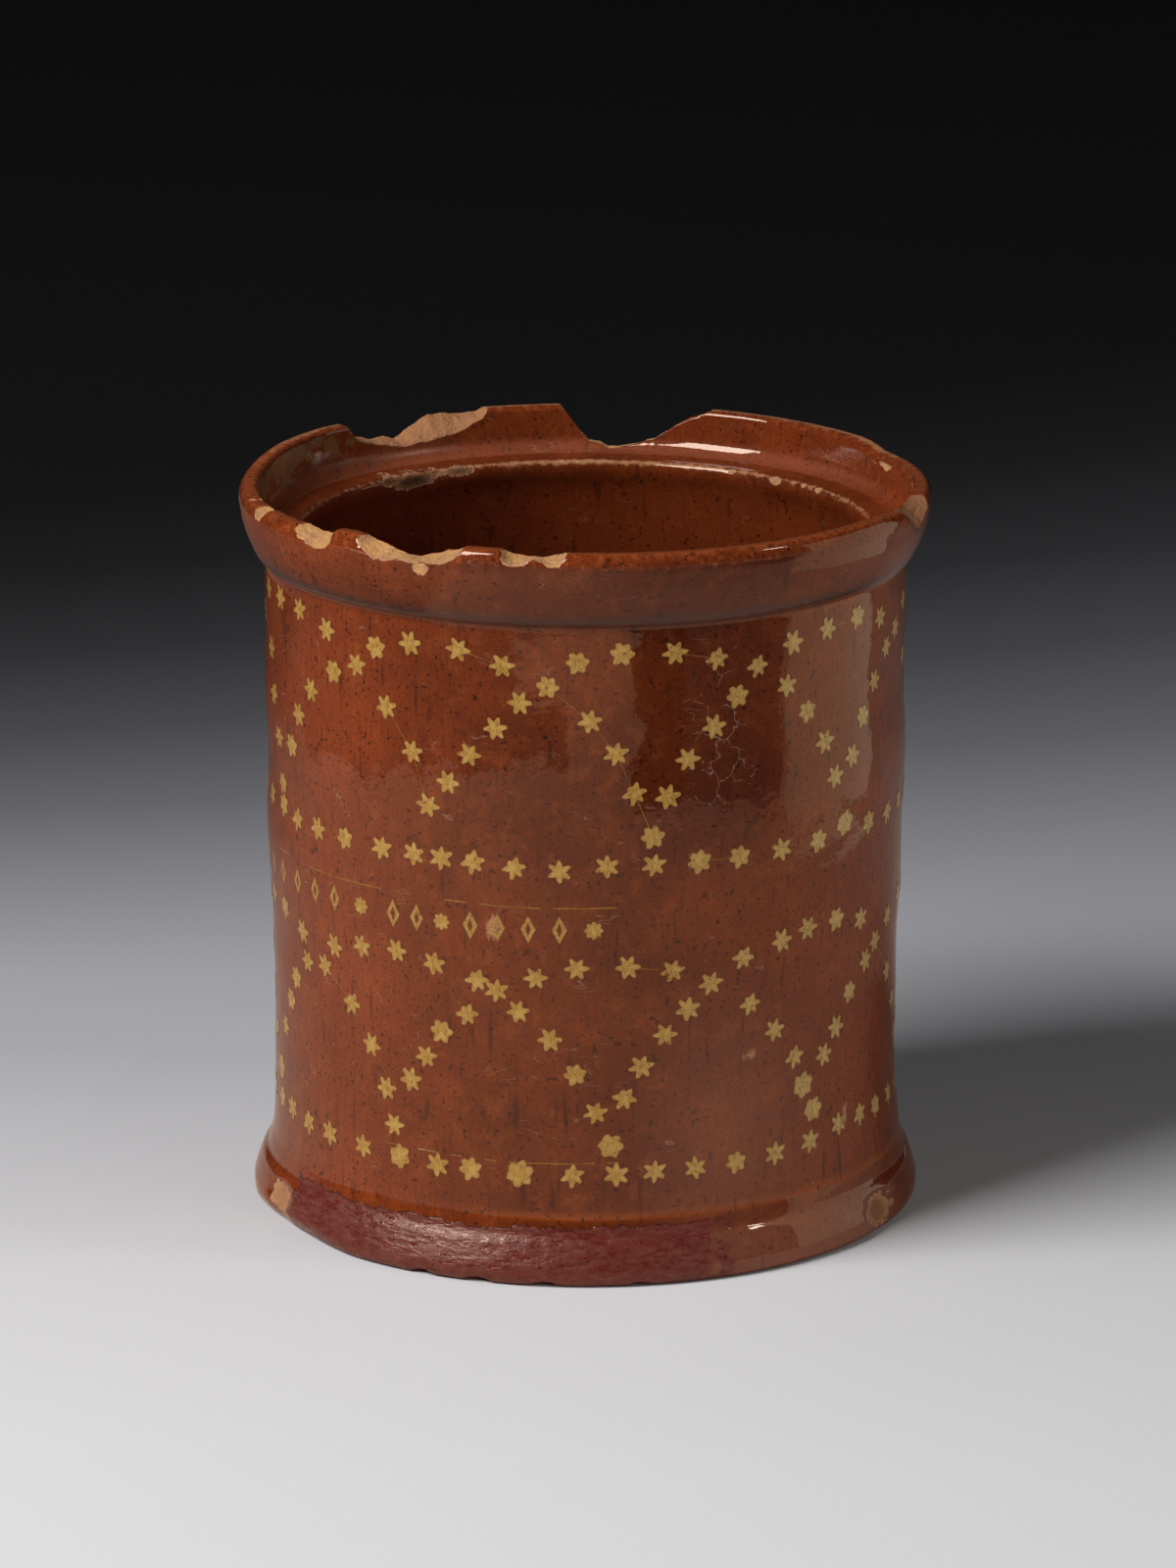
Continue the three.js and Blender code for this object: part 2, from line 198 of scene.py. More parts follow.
@dataclass(frozen=True)
class Grain:
    """One scale of unevenness: a noise with its real size, and the part of its range that shows."""

    size: float
    low: float
    high: float
    detail: float = 2.0
    squash: float = 1.0
    seed: float = 0.0
    octave_fall: float = 0.6

    def share(self, tree: Tree, place: Socket) -> Socket:
        """Adds the grain to a tree.

        Args:
            tree: the tree that gets the nodes.
            place: where on the object the shader is, in metres.

        Returns:
            A share from 0, below the low end, to 1, above the high end.
        """
        moved = add_node(
            tree,
            "ShaderNodeMapping",
            {"Vector": place, "Location": (self.seed, 0, 0), "Scale": (1, 1, self.squash)},
        )
        noise = add_node(
            tree,
            "ShaderNodeTexNoise",
            {
                "Vector": moved.outputs[0],
                "Scale": 1 / (self.size * MM),
                "Detail": self.detail,
                "Roughness": self.octave_fall,
            },
        )
        return add_node(
            tree,
            "ShaderNodeMapRange",
            {"Value": noise.outputs[0], "From Min": self.low, "From Max": self.high},
            interpolation_type="SMOOTHSTEP",
        ).outputs[0]


def lay_over(
    tree: Tree, ground: Socket | str, layers: Sequence[tuple[Socket, Socket | str, float]]
) -> Socket:
    """Lays colours over one another.

    Args:
        tree: the material's tree.
        ground: the colour underneath, as #rrggbb or as an output.
        layers: for each layer its mask, its colour and the strength of it where the mask is 1.

    Returns:
        The colour on top.
    """
    under = linear(ground) if isinstance(ground, str) else ground
    for mask, colour, strength in layers:
        over = linear(colour) if isinstance(colour, str) else colour
        thin = add_node(tree, "ShaderNodeMath", {0: mask, 1: strength}, operation="MULTIPLY")
        mixed = add_node(
            tree, "ShaderNodeMix", {0: thin.outputs[0], 6: under, 7: over}, data_type="RGBA"
        )
        under = mixed.outputs[2]
    return under


def pile_up(tree: Tree, ground: Socket | float, layers: Sequence[tuple[Socket, float]]) -> Socket:
    """Piles unevenness up, as lay_over does with colours.

    Args:
        tree: the material's tree.
        ground: the height underneath, in metres.
        layers: for each layer its mask, and its height in millimetres where the mask is 1.

    Returns:
        The height on top, in metres.
    """
    for mask, rise in layers:
        ground = add_node(
            tree, "ShaderNodeMath", {0: mask, 1: rise * MM, 2: ground}, operation="MULTIPLY_ADD"
        ).outputs[0]
    return ground


def ragged(tree: Tree, mark: Socket, grain: Socket, reach: float, softness: float = 0.06) -> Socket:
    """Gives a mark a ragged edge.

    Args:
        tree: the material's tree.
        mark: the mark, from 0 to 1, whose edge lies at a half.
        grain: the noise that moves the edge, from 0 to 1.
        reach: how far the noise moves it, in the mark's own measure.
        softness: half the width of the edge.

    Returns:
        The mark with its new edge.
    """
    moved = add_node(tree, "ShaderNodeMath", {0: grain, 1: reach, 2: mark}, operation="MULTIPLY_ADD")
    middle = 0.5 + reach / 2
    return add_node(
        tree,
        "ShaderNodeMapRange",
        {"Value": moved.outputs[0], "From Min": middle - softness, "From Max": middle + softness},
        interpolation_type="SMOOTHSTEP",
    ).outputs[0]


@dataclass(frozen=True)
class LeadGlaze:
    """Clear lead glaze as it ran and froze in the kiln: glassy, a little wavy, finely pitted."""

    roughness: float = 0.05
    tint: str = "#ffe6d2"
    ior: float = 1.54
    wave: Grain = Grain(size=8.0, low=0.2, high=0.8, detail=1.5)
    wave_height: float = 0.06
    ripple: Grain = Grain(size=3.0, low=0.2, high=0.8, detail=2.5, seed=0.3)
    ripple_height: float = 0.017

    def relief(self, tree: Tree, place: Socket) -> Socket:
        """Adds the unevenness of the glaze and gives its height in metres."""
        wave, ripple = self.wave.share(tree, place), self.ripple.share(tree, place)
        return pile_up(tree, 0.0, [(wave, self.wave_height), (ripple, self.ripple_height)])


# What the jar's skin carries at each point, from 0 to 1. The inside mark is painted shade, and
# others hold painted shade, reflection and sheen along with the glaze's own marks. A stain goes up
# to 2; above 1 it darkens the chip as painted shade.
MARKS = (
    "biscuit", "foot", "pool", "worn", "chafed", "inside", "thick", "ash", "stain", "craze", "bloom",
    "dusty", "dulled",
)


@dataclass(frozen=True)
class GlazedRedware:
    """Red earthenware, thrown, lead glazed and fired once.

    To the eye it is a warm brown that drifts between dark and orange, with dark flecks of iron, short
    dark streaks down the wall, a glassy shine, and dull buff biscuit wherever it is chipped.
    """

    glaze: LeadGlaze = LeadGlaze()
    deep: str = "#55200a"
    warm: str = "#853917"
    smoke: str = "#57291e"
    bright: str = "#984a22"
    iron: str = "#1f0f0b"
    # Painted shade in the bore and the collar.
    painted_shade: str = "#4a1c0c"
    pooled: str = "#bb5a1c"
    rubbed: str = "#974a25"
    chafed: str = "#b37f5a"
    ash: str = "#7a6140"
    stained: str = "#a06a47"
    craze: str = "#b0937c"
    # Painted shade and reflection on the collar's lower turn.
    bloom: str = "#3a2a28"
    # Dust, with a painted sheen of reflected light.
    dust_and_sheen_tone: str = "#a87d6a"
    # Painted shade on chips.
    chip_shade: str = "#341a0e"
    # The glaze's dark edge on the foot, partly a painted shadow under it.
    seam: str = "#241a1a"
    # Crumbled glaze round chips, partly painted glints.
    crumb_and_glint: str = "#d9cbb8"
    bare_foot: str = "#60201a"
    foot_pale: str = "#8a5344"
    biscuit: str = "#c8945a"
    biscuit_pink: str = "#b17f5c"
    drift: Grain = Grain(size=22.0, low=0.36, high=0.64)
    pepper: Grain = Grain(size=0.6, low=0.49, high=0.68, detail=3.0, seed=8.3)
    comb: Grain = Grain(size=0.6, low=0.42, high=0.66, detail=2.0, squash=0.07, seed=6.1)
    blot: Grain = Grain(size=2.4, low=0.69, high=0.78, detail=1.5, squash=0.9, seed=4.9)
    mottle: Grain = Grain(size=3.4, low=0.46, high=0.76, detail=5.0, seed=0.7)
    streak: Grain = Grain(size=1.5, low=0.6, high=0.8, detail=1.0, squash=0.14, seed=1.9)
    fleck: Grain = Grain(size=1.0, low=0.635, high=0.72, detail=1.0, seed=2.3)
    scratch: Grain = Grain(size=9.0, low=0.485, high=0.515, detail=1.0, squash=4.0, seed=3.7)
    scratched: Grain = Grain(size=6.0, low=0.64, high=0.69, detail=1.0, seed=7.3)
    pinprick: Grain = Grain(size=0.55, low=0.69, high=0.75, detail=1.0, seed=4.1)
    edge: Grain = Grain(size=1.3, low=0.25, high=0.75, detail=4.0, seed=3.1)
    blush: Grain = Grain(size=4.0, low=0.4, high=0.6, detail=3.0, seed=5.3)
    grit: Grain = Grain(size=0.9, low=0.2, high=0.8, detail=4.0, seed=6.7)
    grit_height: float = 0.24
    craze_cell: float = 6.5
    craze_width: float = 0.085
    craze_bend: float = 3.5
    craze_bends_in_a_metre: float = 420.0
    foot_lump: Grain = Grain(size=2.6, low=0.3, high=0.8, detail=4.0, squash=2.6, seed=7.9)
    foot_lump_height: float = 0.13
    wipe: Grain = Grain(size=2.8, low=0.5, high=0.62, detail=2.0, squash=4.2, seed=9.1)
    drift_reach: float = 0.35
    drift_base: float = -0.17
    chip_depth: float = 0.15
    dulled_by: float = 0.26
    foot_roughness: float = 0.38
    wiped_roughness: float = 0.12
    clay_roughness: float = 0.85

    def crazing(self, tree: Tree, place: Socket, mark: Socket) -> Socket:
        """Draws the fine pale cracks of crazed glaze.

        Args:
            tree: the material's tree.
            place: where on the object the shader is, in metres.
            mark: where the glaze is crazed.

        Returns:
            The cracks, from 0 to 1.
        """
        bent = add_node(
            tree,
            "ShaderNodeTexNoise",
            {"Vector": place, "Scale": self.craze_bends_in_a_metre, "Detail": 3.0},
        )
        slack = add_node(
            tree,
            "ShaderNodeVectorMath",
            {0: bent.outputs["Color"], "Scale": self.craze_bend * MM},
            operation="SCALE",
        )
        loose = add_node(tree, "ShaderNodeVectorMath", {0: place, 1: slack.outputs[0]}, operation="ADD")
        cells = add_node(
            tree,
            "ShaderNodeTexVoronoi",
            {"Vector": loose.outputs[0], "Scale": 1 / (self.craze_cell * MM)},
            feature="DISTANCE_TO_EDGE",
        )
        width = self.craze_width / self.craze_cell
        line = add_node(
            tree,
            "ShaderNodeMapRange",
            {"Value": cells.outputs["Distance"], "From Min": width, "From Max": 0.0},
        )
        seen = ragged(tree, mark, self.blush.share(tree, place), 0.7, 0.15)
        return add_node(
            tree, "ShaderNodeMath", {0: line.outputs[0], 1: seen}, operation="MULTIPLY"
        ).outputs[0]

    def material(self) -> bpy.types.Material:
        """Builds the material.

        Returns:
            The material, which reads the attributes named in MARKS.
        """
        material, tree, body = start_material("lead_glazed_redware")
        place = add_node(tree, "ShaderNodeTexCoord").outputs["Object"]
        marks = {
            name: add_node(tree, "ShaderNodeAttribute", attribute_name=name).outputs["Fac"]
            for name in MARKS
        }
        edge = self.edge.share(tree, place)
        chipped = ragged(tree, marks["biscuit"], edge, 0.5)
        rubbed = ragged(tree, marks["worn"], edge, 0.6, 0.2)
        chafed = ragged(tree, marks["chafed"], edge, 0.5, 0.25)
        drifted = add_node(
            tree,
            "ShaderNodeMath",
            {0: self.drift.share(tree, place), 1: self.drift_reach, 2: self.drift_base},
            operation="MULTIPLY_ADD",
        )
        thick = add_node(
            tree,
            "ShaderNodeMath",
            {0: marks["thick"], 1: drifted.outputs[0]},
            operation="ADD",
            use_clamp=True,
        ).outputs[0]
        blush = self.blush.share(tree, place)
        unglazed = ragged(tree, marks["foot"], blush, 0.5, 0.15)
        # Stains above 1 darken the chip as painted shade.
        chip_shaded = add_node(
            tree, "ShaderNodeMath", {0: marks["stain"], 1: 1.0}, operation="SUBTRACT", use_clamp=True
        ).outputs[0]
        hair = add_node(
            tree, "ShaderNodeMath", {0: self.scratch.share(tree, place), 1: 0.5}, operation="PINGPONG"
        )
        scratched = add_node(
            tree,
            "ShaderNodeMath",
            {0: hair.outputs[0], 1: self.scratched.share(tree, place)},
            operation="MULTIPLY",
        ).outputs[0]
        # Each layer below is where it lies, its colour and its strength there, lowest first.
        glazed = lay_over(
            tree,
            self.warm,
            [
                # Thick glaze, with painted shade across the front and a painted dark reflection in it.
                (thick, self.deep, 1.0),
                (self.mottle.share(tree, place), self.bright, 0.38),
                (self.pepper.share(tree, place), self.iron, 0.4),
                (self.comb.share(tree, place), self.smoke, 0.3),
                # Painted shade in the bore, inside and on the collar, and the painted dark reflection on
                # the wall.
                (marks["inside"], self.painted_shade, 0.6),
                (marks["pool"], self.pooled, 0.4),
                (rubbed, self.rubbed, 0.7),
                (self.streak.share(tree, place), self.iron, 0.52),
                (self.blot.share(tree, place), self.iron, 0.58),
                (self.fleck.share(tree, place), self.iron, 0.72),
                (ragged(tree, marks["ash"], blush, 0.6, 0.2), self.ash, 0.6),
                (chafed, self.chafed, 0.8),
                (self.crazing(tree, place, marks["craze"]), self.craze, 0.6),
                (scratched, self.craze, 0.6),
                # Painted shade and reflection on the collar's lower turn.
                (marks["bloom"], self.bloom, 0.75),
                # Dust, with a painted sheen of reflected light.
                (marks["dusty"], self.dust_and_sheen_tone, 0.13),
            ],
        )
        foot = lay_over(
            tree,
            self.bare_foot,
            [
                (self.foot_lump.share(tree, place), self.foot_pale, 0.4),
                (self.pepper.share(tree, place), self.iron, 0.35),
                (self.fleck.share(tree, place), self.iron, 0.5),
            ],
        )
        clay = lay_over(
            tree,
            self.biscuit,
            [
                (blush, self.biscuit_pink, 0.7),
                (marks["stain"], self.stained, 0.85),
                (self.mottle.share(tree, place), self.stained, 0.5),
                (self.pepper.share(tree, place), self.stained, 0.45),
                # Painted shade on chips that lie in shade.
                (chip_shaded, self.chip_shade, 0.9),
                (self.pinprick.share(tree, place), self.iron, 0.6),
            ],
        )
        # A dark line along the glaze's edge on the foot: its own dark edge and a painted shadow under it.
        glaze_edge = add_node(tree, "ShaderNodeMath", {0: unglazed, 1: 0.5}, operation="PINGPONG")
        free_of_dust_and_sheen = add_node(
            tree, "ShaderNodeMath", {0: 1.0, 1: marks["dusty"]}, operation="SUBTRACT", use_clamp=True
        )
        seam = add_node(
            tree,
            "ShaderNodeMath",
            {0: glaze_edge.outputs[0], 1: free_of_dust_and_sheen.outputs[0]},
            operation="MULTIPLY",
        ).outputs[0]
        # Pale crumbled glaze round each chip, partly painted glints on the broken edge.
        chip_edge = add_node(
            tree, "ShaderNodeMath", {0: chipped, 1: 0.5}, operation="PINGPONG"
        ).outputs[0]
        colour = lay_over(
            tree,
            glazed,
            [
                (unglazed, foot, 1.0),
                (seam, self.seam, 1.8),
                (chipped, clay, 1.0),
                (chip_edge, self.crumb_and_glint, 0.5),
            ],
        )
        wiped = add_node(
            tree,
            "ShaderNodeMix",
            {0: self.wipe.share(tree, place), 2: self.foot_roughness, 3: self.wiped_roughness},
            data_type="FLOAT",
        )
        hazy = add_node(
            tree,
            "ShaderNodeMath",
            {0: marks["dulled"], 1: self.dulled_by, 2: self.glaze.roughness},
            operation="MULTIPLY_ADD",
        )
        dull = add_node(
            tree,
            "ShaderNodeMix",
            {0: unglazed, 2: hazy.outputs[0], 3: wiped.outputs[0]},
            data_type="FLOAT",
        )
        matt = add_node(
            tree,
            "ShaderNodeMix",
            {0: chipped, 2: dull.outputs[0], 3: self.clay_roughness},
            data_type="FLOAT",
        )
        broken = add_node(
            tree, "ShaderNodeMath", {0: chipped, 1: self.grit.share(tree, place)}, operation="MULTIPLY"
        )
        lumps = add_node(
            tree,
            "ShaderNodeMath",
            {0: unglazed, 1: self.foot_lump.share(tree, place)},
            operation="MULTIPLY",
        )
        height = pile_up(
            tree,
            self.glaze.relief(tree, place),
            [
                (broken.outputs[0], self.grit_height),
                (lumps.outputs[0], self.foot_lump_height),
                (chipped, -self.chip_depth),
            ],
        )
        bump = add_node(tree, "ShaderNodeBump", {"Height": height, "Distance": 1.0, "Strength": 1.0})
        glassy = {"IOR": self.glaze.ior, "Specular Tint": linear(self.glaze.tint)}
        skin = {"Base Color": colour, "Roughness": matt.outputs[0], "Normal": bump.outputs[0]}
        feed(tree, body, glassy | skin)
        return material


@dataclass(frozen=True)
class GlazedSlip:
    """White slip pressed into the leather-hard clay, under the same lead glaze.

    The glaze turns it a warm straw yellow. It is thinner and browner towards its edge, and pitted.
    """

    glaze: LeadGlaze = LeadGlaze()
    straw: str = "#a67c36"
    pale: str = "#be9a52"
    edge: str = "#764519"
    blunt: str = "#9f7547"
    vein: str = "#7d5520"
    full: str = "#dcb976"
    clay: str = "#7c3616"
    cloud: Grain = Grain(size=1.5, low=0.42, high=0.6, detail=3.0, seed=1.1)
    crack: Grain = Grain(size=1.6, low=0.44, high=0.56, detail=2.0, squash=0.5, seed=8.9)
    gone: Grain = Grain(size=2.6, low=0.71, high=0.735, detail=2.0, seed=4.3)
    pit: Grain = Grain(size=0.8, low=0.65, high=0.74, detail=1.0, seed=2.7)
    fray: Grain = Grain(size=0.5, low=0.2, high=0.8, detail=2.0, seed=3.3)
    # Where the slip pales towards +x, the jar's right, in millimetres.
    paler_from: float = 8.0
    paler_to: float = 40.0

    def material(self) -> bpy.types.Material:
        """Builds the material.

        Returns:
            The material, which reads the attributes rim and thin.
        """
        material, tree, body = start_material("slip_under_lead_glaze")
        place = add_node(tree, "ShaderNodeTexCoord").outputs["Object"]
        rim = add_node(tree, "ShaderNodeAttribute", attribute_name="rim").outputs["Fac"]
        thin = add_node(tree, "ShaderNodeAttribute", attribute_name="thin").outputs["Fac"]
        fray = self.fray.share(tree, place)
        axes = add_node(tree, "ShaderNodeSeparateXYZ", {0: place})
        paler_to_the_right = add_node(
            tree,
            "ShaderNodeMapRange",
            {
                "Value": axes.outputs["X"],
                "From Min": self.paler_from * MM,
                "From Max": self.paler_to * MM,
            },
        ).outputs[0]
        near_edge = add_node(tree, "ShaderNodeMath", {0: rim, 1: 4.0}, operation="POWER").outputs[0]
        middle = add_node(tree, "ShaderNodeMath", {0: 1.0, 1: rim}, operation="SUBTRACT")
        hair = add_node(
            tree, "ShaderNodeMath", {0: self.crack.share(tree, place), 1: 0.5}, operation="PINGPONG"
        )
        crack = add_node(
            tree, "ShaderNodeMath", {0: hair.outputs[0], 1: middle.outputs[0]}, operation="MULTIPLY"
        ).outputs[0]
        colour = lay_over(
            tree,
            self.straw,
            [
                (self.cloud.share(tree, place), self.pale, 0.6),
                # The slip is paler towards the jar's right.
                (paler_to_the_right, self.full, 0.42),
                (rim, self.blunt, 0.55),
                (crack, self.vein, 1.5),
                (thin, self.edge, 1.0),
                (ragged(tree, near_edge, fray, 0.5, 0.25), self.edge, 0.75),
                (self.pit.share(tree, place), self.clay, 0.8),
                (self.gone.share(tree, place), self.clay, 0.85),
            ],
        )
        relief = self.glaze.relief(tree, place)
        bump = add_node(tree, "ShaderNodeBump", {"Height": relief, "Distance": 1.0, "Strength": 1.0})
        glassy = {"IOR": self.glaze.ior, "Specular Tint": linear(self.glaze.tint)}
        skin = {"Base Color": colour, "Roughness": self.glaze.roughness, "Normal": bump.outputs[0]}
        feed(tree, body, glassy | skin)
        return material


@dataclass(frozen=True)
class TablePaper:
    """Matt background paper, pale under the jar; behind it, painted shade falls through greys to black."""

    # Painted shade: the paper's tone by depth, darkening where the light falls off behind the jar.
    tones: tuple[tuple[float, str], ...] = (
        (-150, "#e3e3e4"),
        (-60, "#dddddf"),
        (-13, "#d2d2d4"),
        (40, "#cbcbce"),
        (95, "#bebec3"),
        (155, "#b4b4b9"),
        (222, "#98989e"),
        (292, "#76767c"),
        (369, "#56565a"),
        (453, "#38383b"),
        (545, "#202021"),
        (646, "#111111"),
        (760, "#0f0f0f"),
    )
    # Slants the painted shade, so that at the back the paper is paler on the right than on the left.
    fan: float = -0.95
    mirrored: str = "#ffe3cf"
    tooth: Grain = Grain(size=0.5, low=0.2, high=0.8, detail=2.0)
    tooth_height: float = 0.01
    roughness: float = 0.9
    gloss: float = 0.2

    def material(self) -> bpy.types.Material:
        """Builds the material.

        Returns:
            The material, whose tones follow the paper's own depth from front to back.
        """
        material, tree, body = start_material("matt_background_paper")
        place = add_node(tree, "ShaderNodeTexCoord").outputs["Object"]
        axes = add_node(tree, "ShaderNodeSeparateXYZ", {0: place})
        slant = add_node(
            tree, "ShaderNodeMath", {0: axes.outputs["X"], 1: self.fan, 2: 1.0}, operation="MULTIPLY_ADD"
        )
        depth = add_node(
            tree, "ShaderNodeMath", {0: axes.outputs["Y"], 1: slant.outputs[0]}, operation="MULTIPLY"
        )
        first, last = self.tones[0][0], self.tones[-1][0]
        share = add_node(
            tree,
            "ShaderNodeMapRange",
            {"Value": depth.outputs[0], "From Min": first * MM, "From Max": last * MM},
        )
        ramp = add_node(tree, "ShaderNodeValToRGB", {0: share.outputs[0]})
        stops = ramp.color_ramp.elements
        while len(stops) < len(self.tones):
            stops.new(0.5)
        for stop, (depth_mm, tone) in zip(stops, self.tones):
            stop.position = (depth_mm - first) / (last - first)
            stop.color = linear(tone)
        path = add_node(tree, "ShaderNodeLightPath")
        warm = add_node(
            tree,
            "ShaderNodeMix",
            {0: path.outputs["Is Glossy Ray"], 6: ramp.outputs[0], 7: linear(self.mirrored)},
            data_type="RGBA",
            blend_type="MULTIPLY",
        )
        height = pile_up(tree, 0.0, [(self.tooth.share(tree, place), self.tooth_height)])
        bump = add_node(tree, "ShaderNodeBump", {"Height": height, "Distance": 1.0})
        matt = {"Roughness": self.roughness, "Specular IOR Level": self.gloss}
        feed(tree, body, matt | {"Base Color": warm.outputs[2], "Normal": bump.outputs[0]})
        return material


@dataclass(frozen=True)
class DarkBoard:
    """Dark grey matt board beside the table, which the glaze mirrors as a dark patch."""

    tone: str

    def material(self) -> bpy.types.Material:
        """Builds the material.

        Returns:
            The material.
        """
        material, tree, body = start_material("matt_board_" + self.tone[1:])
        feed(tree, body, {"Base Color": linear(self.tone), "Roughness": 1.0, "Specular IOR Level": 0.0})
        return material


@dataclass(frozen=True)
class LitCard:
    """A white card that glows in place of full light, which the glaze mirrors as a pale patch on its right.
    """

    glow: float = 0.72
    tint: str = "#fff5dc"

    def material(self) -> bpy.types.Material:
        """Builds the material.

        Returns:
            The material.
        """
        material, tree, body = start_material("lit_white_card")
        dead = {"Base Color": linear("#000000"), "Roughness": 1.0, "Specular IOR Level": 0.0}
        lit = {"Emission Color": linear(self.tint), "Emission Strength": self.glow}
        feed(tree, body, dead | lit)
        return material


# The jar


@dataclass
class Ring:
    """One turn of points on the jar's skin."""

    azimuth: np.ndarray
    radius: np.ndarray
    height: np.ndarray
    marks: dict[str, np.ndarray] = field(default_factory=dict)
    start: int = 0

    def points(self) -> np.ndarray:
        """Gives the ring's points in metres."""
        turn = np.radians(self.azimuth)
        return np.stack([self.radius * np.sin(turn), -self.radius * np.cos(turn), self.height], 1) * MM

    def numbers(self) -> np.ndarray:
        """Gives the numbers of the ring's points, the first again at the end."""
        return self.start + np.append(np.arange(len(self.azimuth)), 0)


def bridge(first: Ring, second: Ring) -> list[tuple[int, ...]]:
    """Joins two rings with faces that point out.

    Args:
        first: a ring.
        second: the ring after it along the section, whose azimuths are the same, fewer or more.

    Returns:
        The faces.
    """
    low, high = first.numbers(), second.numbers()
    if len(low) == len(high):
        return list(zip(low[:-1], low[1:], high[1:], high[:-1]))
    coarse_first = len(low) < len(high)
    coarse, fine = (first, second) if coarse_first else (second, first)
    few, many = coarse.numbers(), fine.numbers()
    at = np.append(np.searchsorted(fine.azimuth, coarse.azimuth - 1e-6), len(fine.azimuth))
    faces: list[tuple[int, ...]] = []
    for j in range(len(coarse.azimuth)):
        here, after = few[j], few[j + 1]
        fan = [(here, many[k + 1], many[k]) for k in range(at[j], at[j + 1])]
        fan.append((here, after, many[at[j + 1]]))
        faces += fan if coarse_first else [face[::-1] for face in fan]
    return faces


class Side(Enum):
    """Which face of the clay a flake has come off."""

    OUTSIDE = "outside"
    INSIDE = "inside"


@dataclass(frozen=True)
class Flake:
    """A place where a flake has come off. Bare clay shows buff, browned in places, with painted shade on
    some.
    """

    azimuth: float
    height: float
    half_turn: float
    half_height: float
    side: Side = Side.OUTSIDE
    depth: float = 0.35
    bare: float = 1.0
    stain: float = 0.0

    def cover(self, azimuth: np.ndarray, height: np.ndarray) -> np.ndarray:
        """Gives how much of each point the flake takes.

        Args:
            azimuth: the points' azimuths in degrees.
            height: the points' heights.

        Returns:
            Shares from 0 to 1, with the flake's edge at a half.
        """
        across = ((azimuth - self.azimuth + 180) % 360 - 180) / self.half_turn
        up = (height - self.height) / self.half_height
        return np.clip(1.5 - np.hypot(across, up), 0, 1)


# Where the rim is broken: azimuth, then the height of the break at the collar's inside and outside.
# A break that high is above the whole rim, so nothing is missing there.
WHOLE = 138.0
RIM_BREAKS: tuple[tuple[tuple[float, float, float], ...], ...] = (
    ((-78, 138, 138), (-77.2, 134.9, 134.7), (-76, 134.8, 134.4), (-75, 138, 138)),
    (
        (-72, 138, 138), (-71, 135.0, 134.4), (-69.6, 134.8, 133.3), (-67.8, 134.9, 133.0),
        (-66.3, 135.1, 134.2), (-65.2, 138, 138),
    ),
    (
        (-56.4, 138, 138), (-55, 135.5, 134.5), (-53, 135.2, 133.2), (-51, 134.9, 132.5),
        (-49.5, 134.6, 132.1), (-48, 134.6, 132.2), (-46.6, 134.7, 132.6), (-45.6, 135.2, 134.0),
        (-44.8, 138, 138),
    ),
    (
        (-40.4, 138, 138), (-39.4, 136.0, 135.0), (-37.9, 135.4, 133.8), (-36, 134.9, 132.7),
        (-34.2, 134.2, 132.7), (-32.8, 133.7, 133.1), (-31.5, 133.4, 133.5), (-30.3, 133.2, 133.2),
        (-28.8, 133.4, 132.9), (-27.4, 133.9, 133.1), (-25.6, 134.4, 133.2), (-24, 135.0, 133.3),
        (-22.5, 135.5, 133.7), (-21.3, 135.9, 134.5), (-20.4, 136.2, 135.3), (-19.4, 138, 138),
    ),
    (
        (-14.4, 138, 138), (-13.4, 136.0, 134.6), (-12, 135.7, 133.6), (-10.6, 135.2, 133.7),
        (-9.4, 135.0, 134.7), (-8.2, 134.8, 135.0), (-7, 134.9, 134.8), (-5.6, 135.4, 134.2),
        (-4.2, 135.8, 134.1), (-3.2, 136.1, 135.2), (-2.4, 138, 138),
    ),
    (
        (63.5, 138, 138), (65, 135.6, 134.8), (67, 135.3, 133.4), (69.5, 135.1, 131.4), (72, 134.9, 130.3),
        (74.5, 134.9, 130.5), (77, 135.0, 132.3), (79, 135.2, 134.2), (80.5, 138, 138),
    ),
    (
        (154.5, 138, 138), (157.6, 135.6, 134.8), (160.3, 134.5, 133.7), (163.9, 132.2, 131.5),
        (167.4, 129.9, 129.2), (170.9, 128.6, 127.9), (172.6, 128.2, 127.6), (175.8, 128.1, 127.4),
        (177.5, 128.8, 128.2), (179.6, 129.3, 128.7), (182.5, 133.2, 132.6), (183.9, 135.2, 134.8),
        (185.6, 138, 138),
    ),
    (
        (196, 138, 138), (199.3, 134.0, 135.2), (202.4, 132.4, 135.0), (206, 131.3, 135.8),
        (208.6, 131.0, 135.5), (211, 130.8, 133.7), (213.6, 130.6, 132.1), (215.4, 130.6, 131.4),
        (217.1, 131.0, 132.0), (220.3, 131.5, 132.1), (223.6, 132.5, 132.9), (226.6, 133.7, 134.1),
        (229.5, 138, 138),
    ),
)
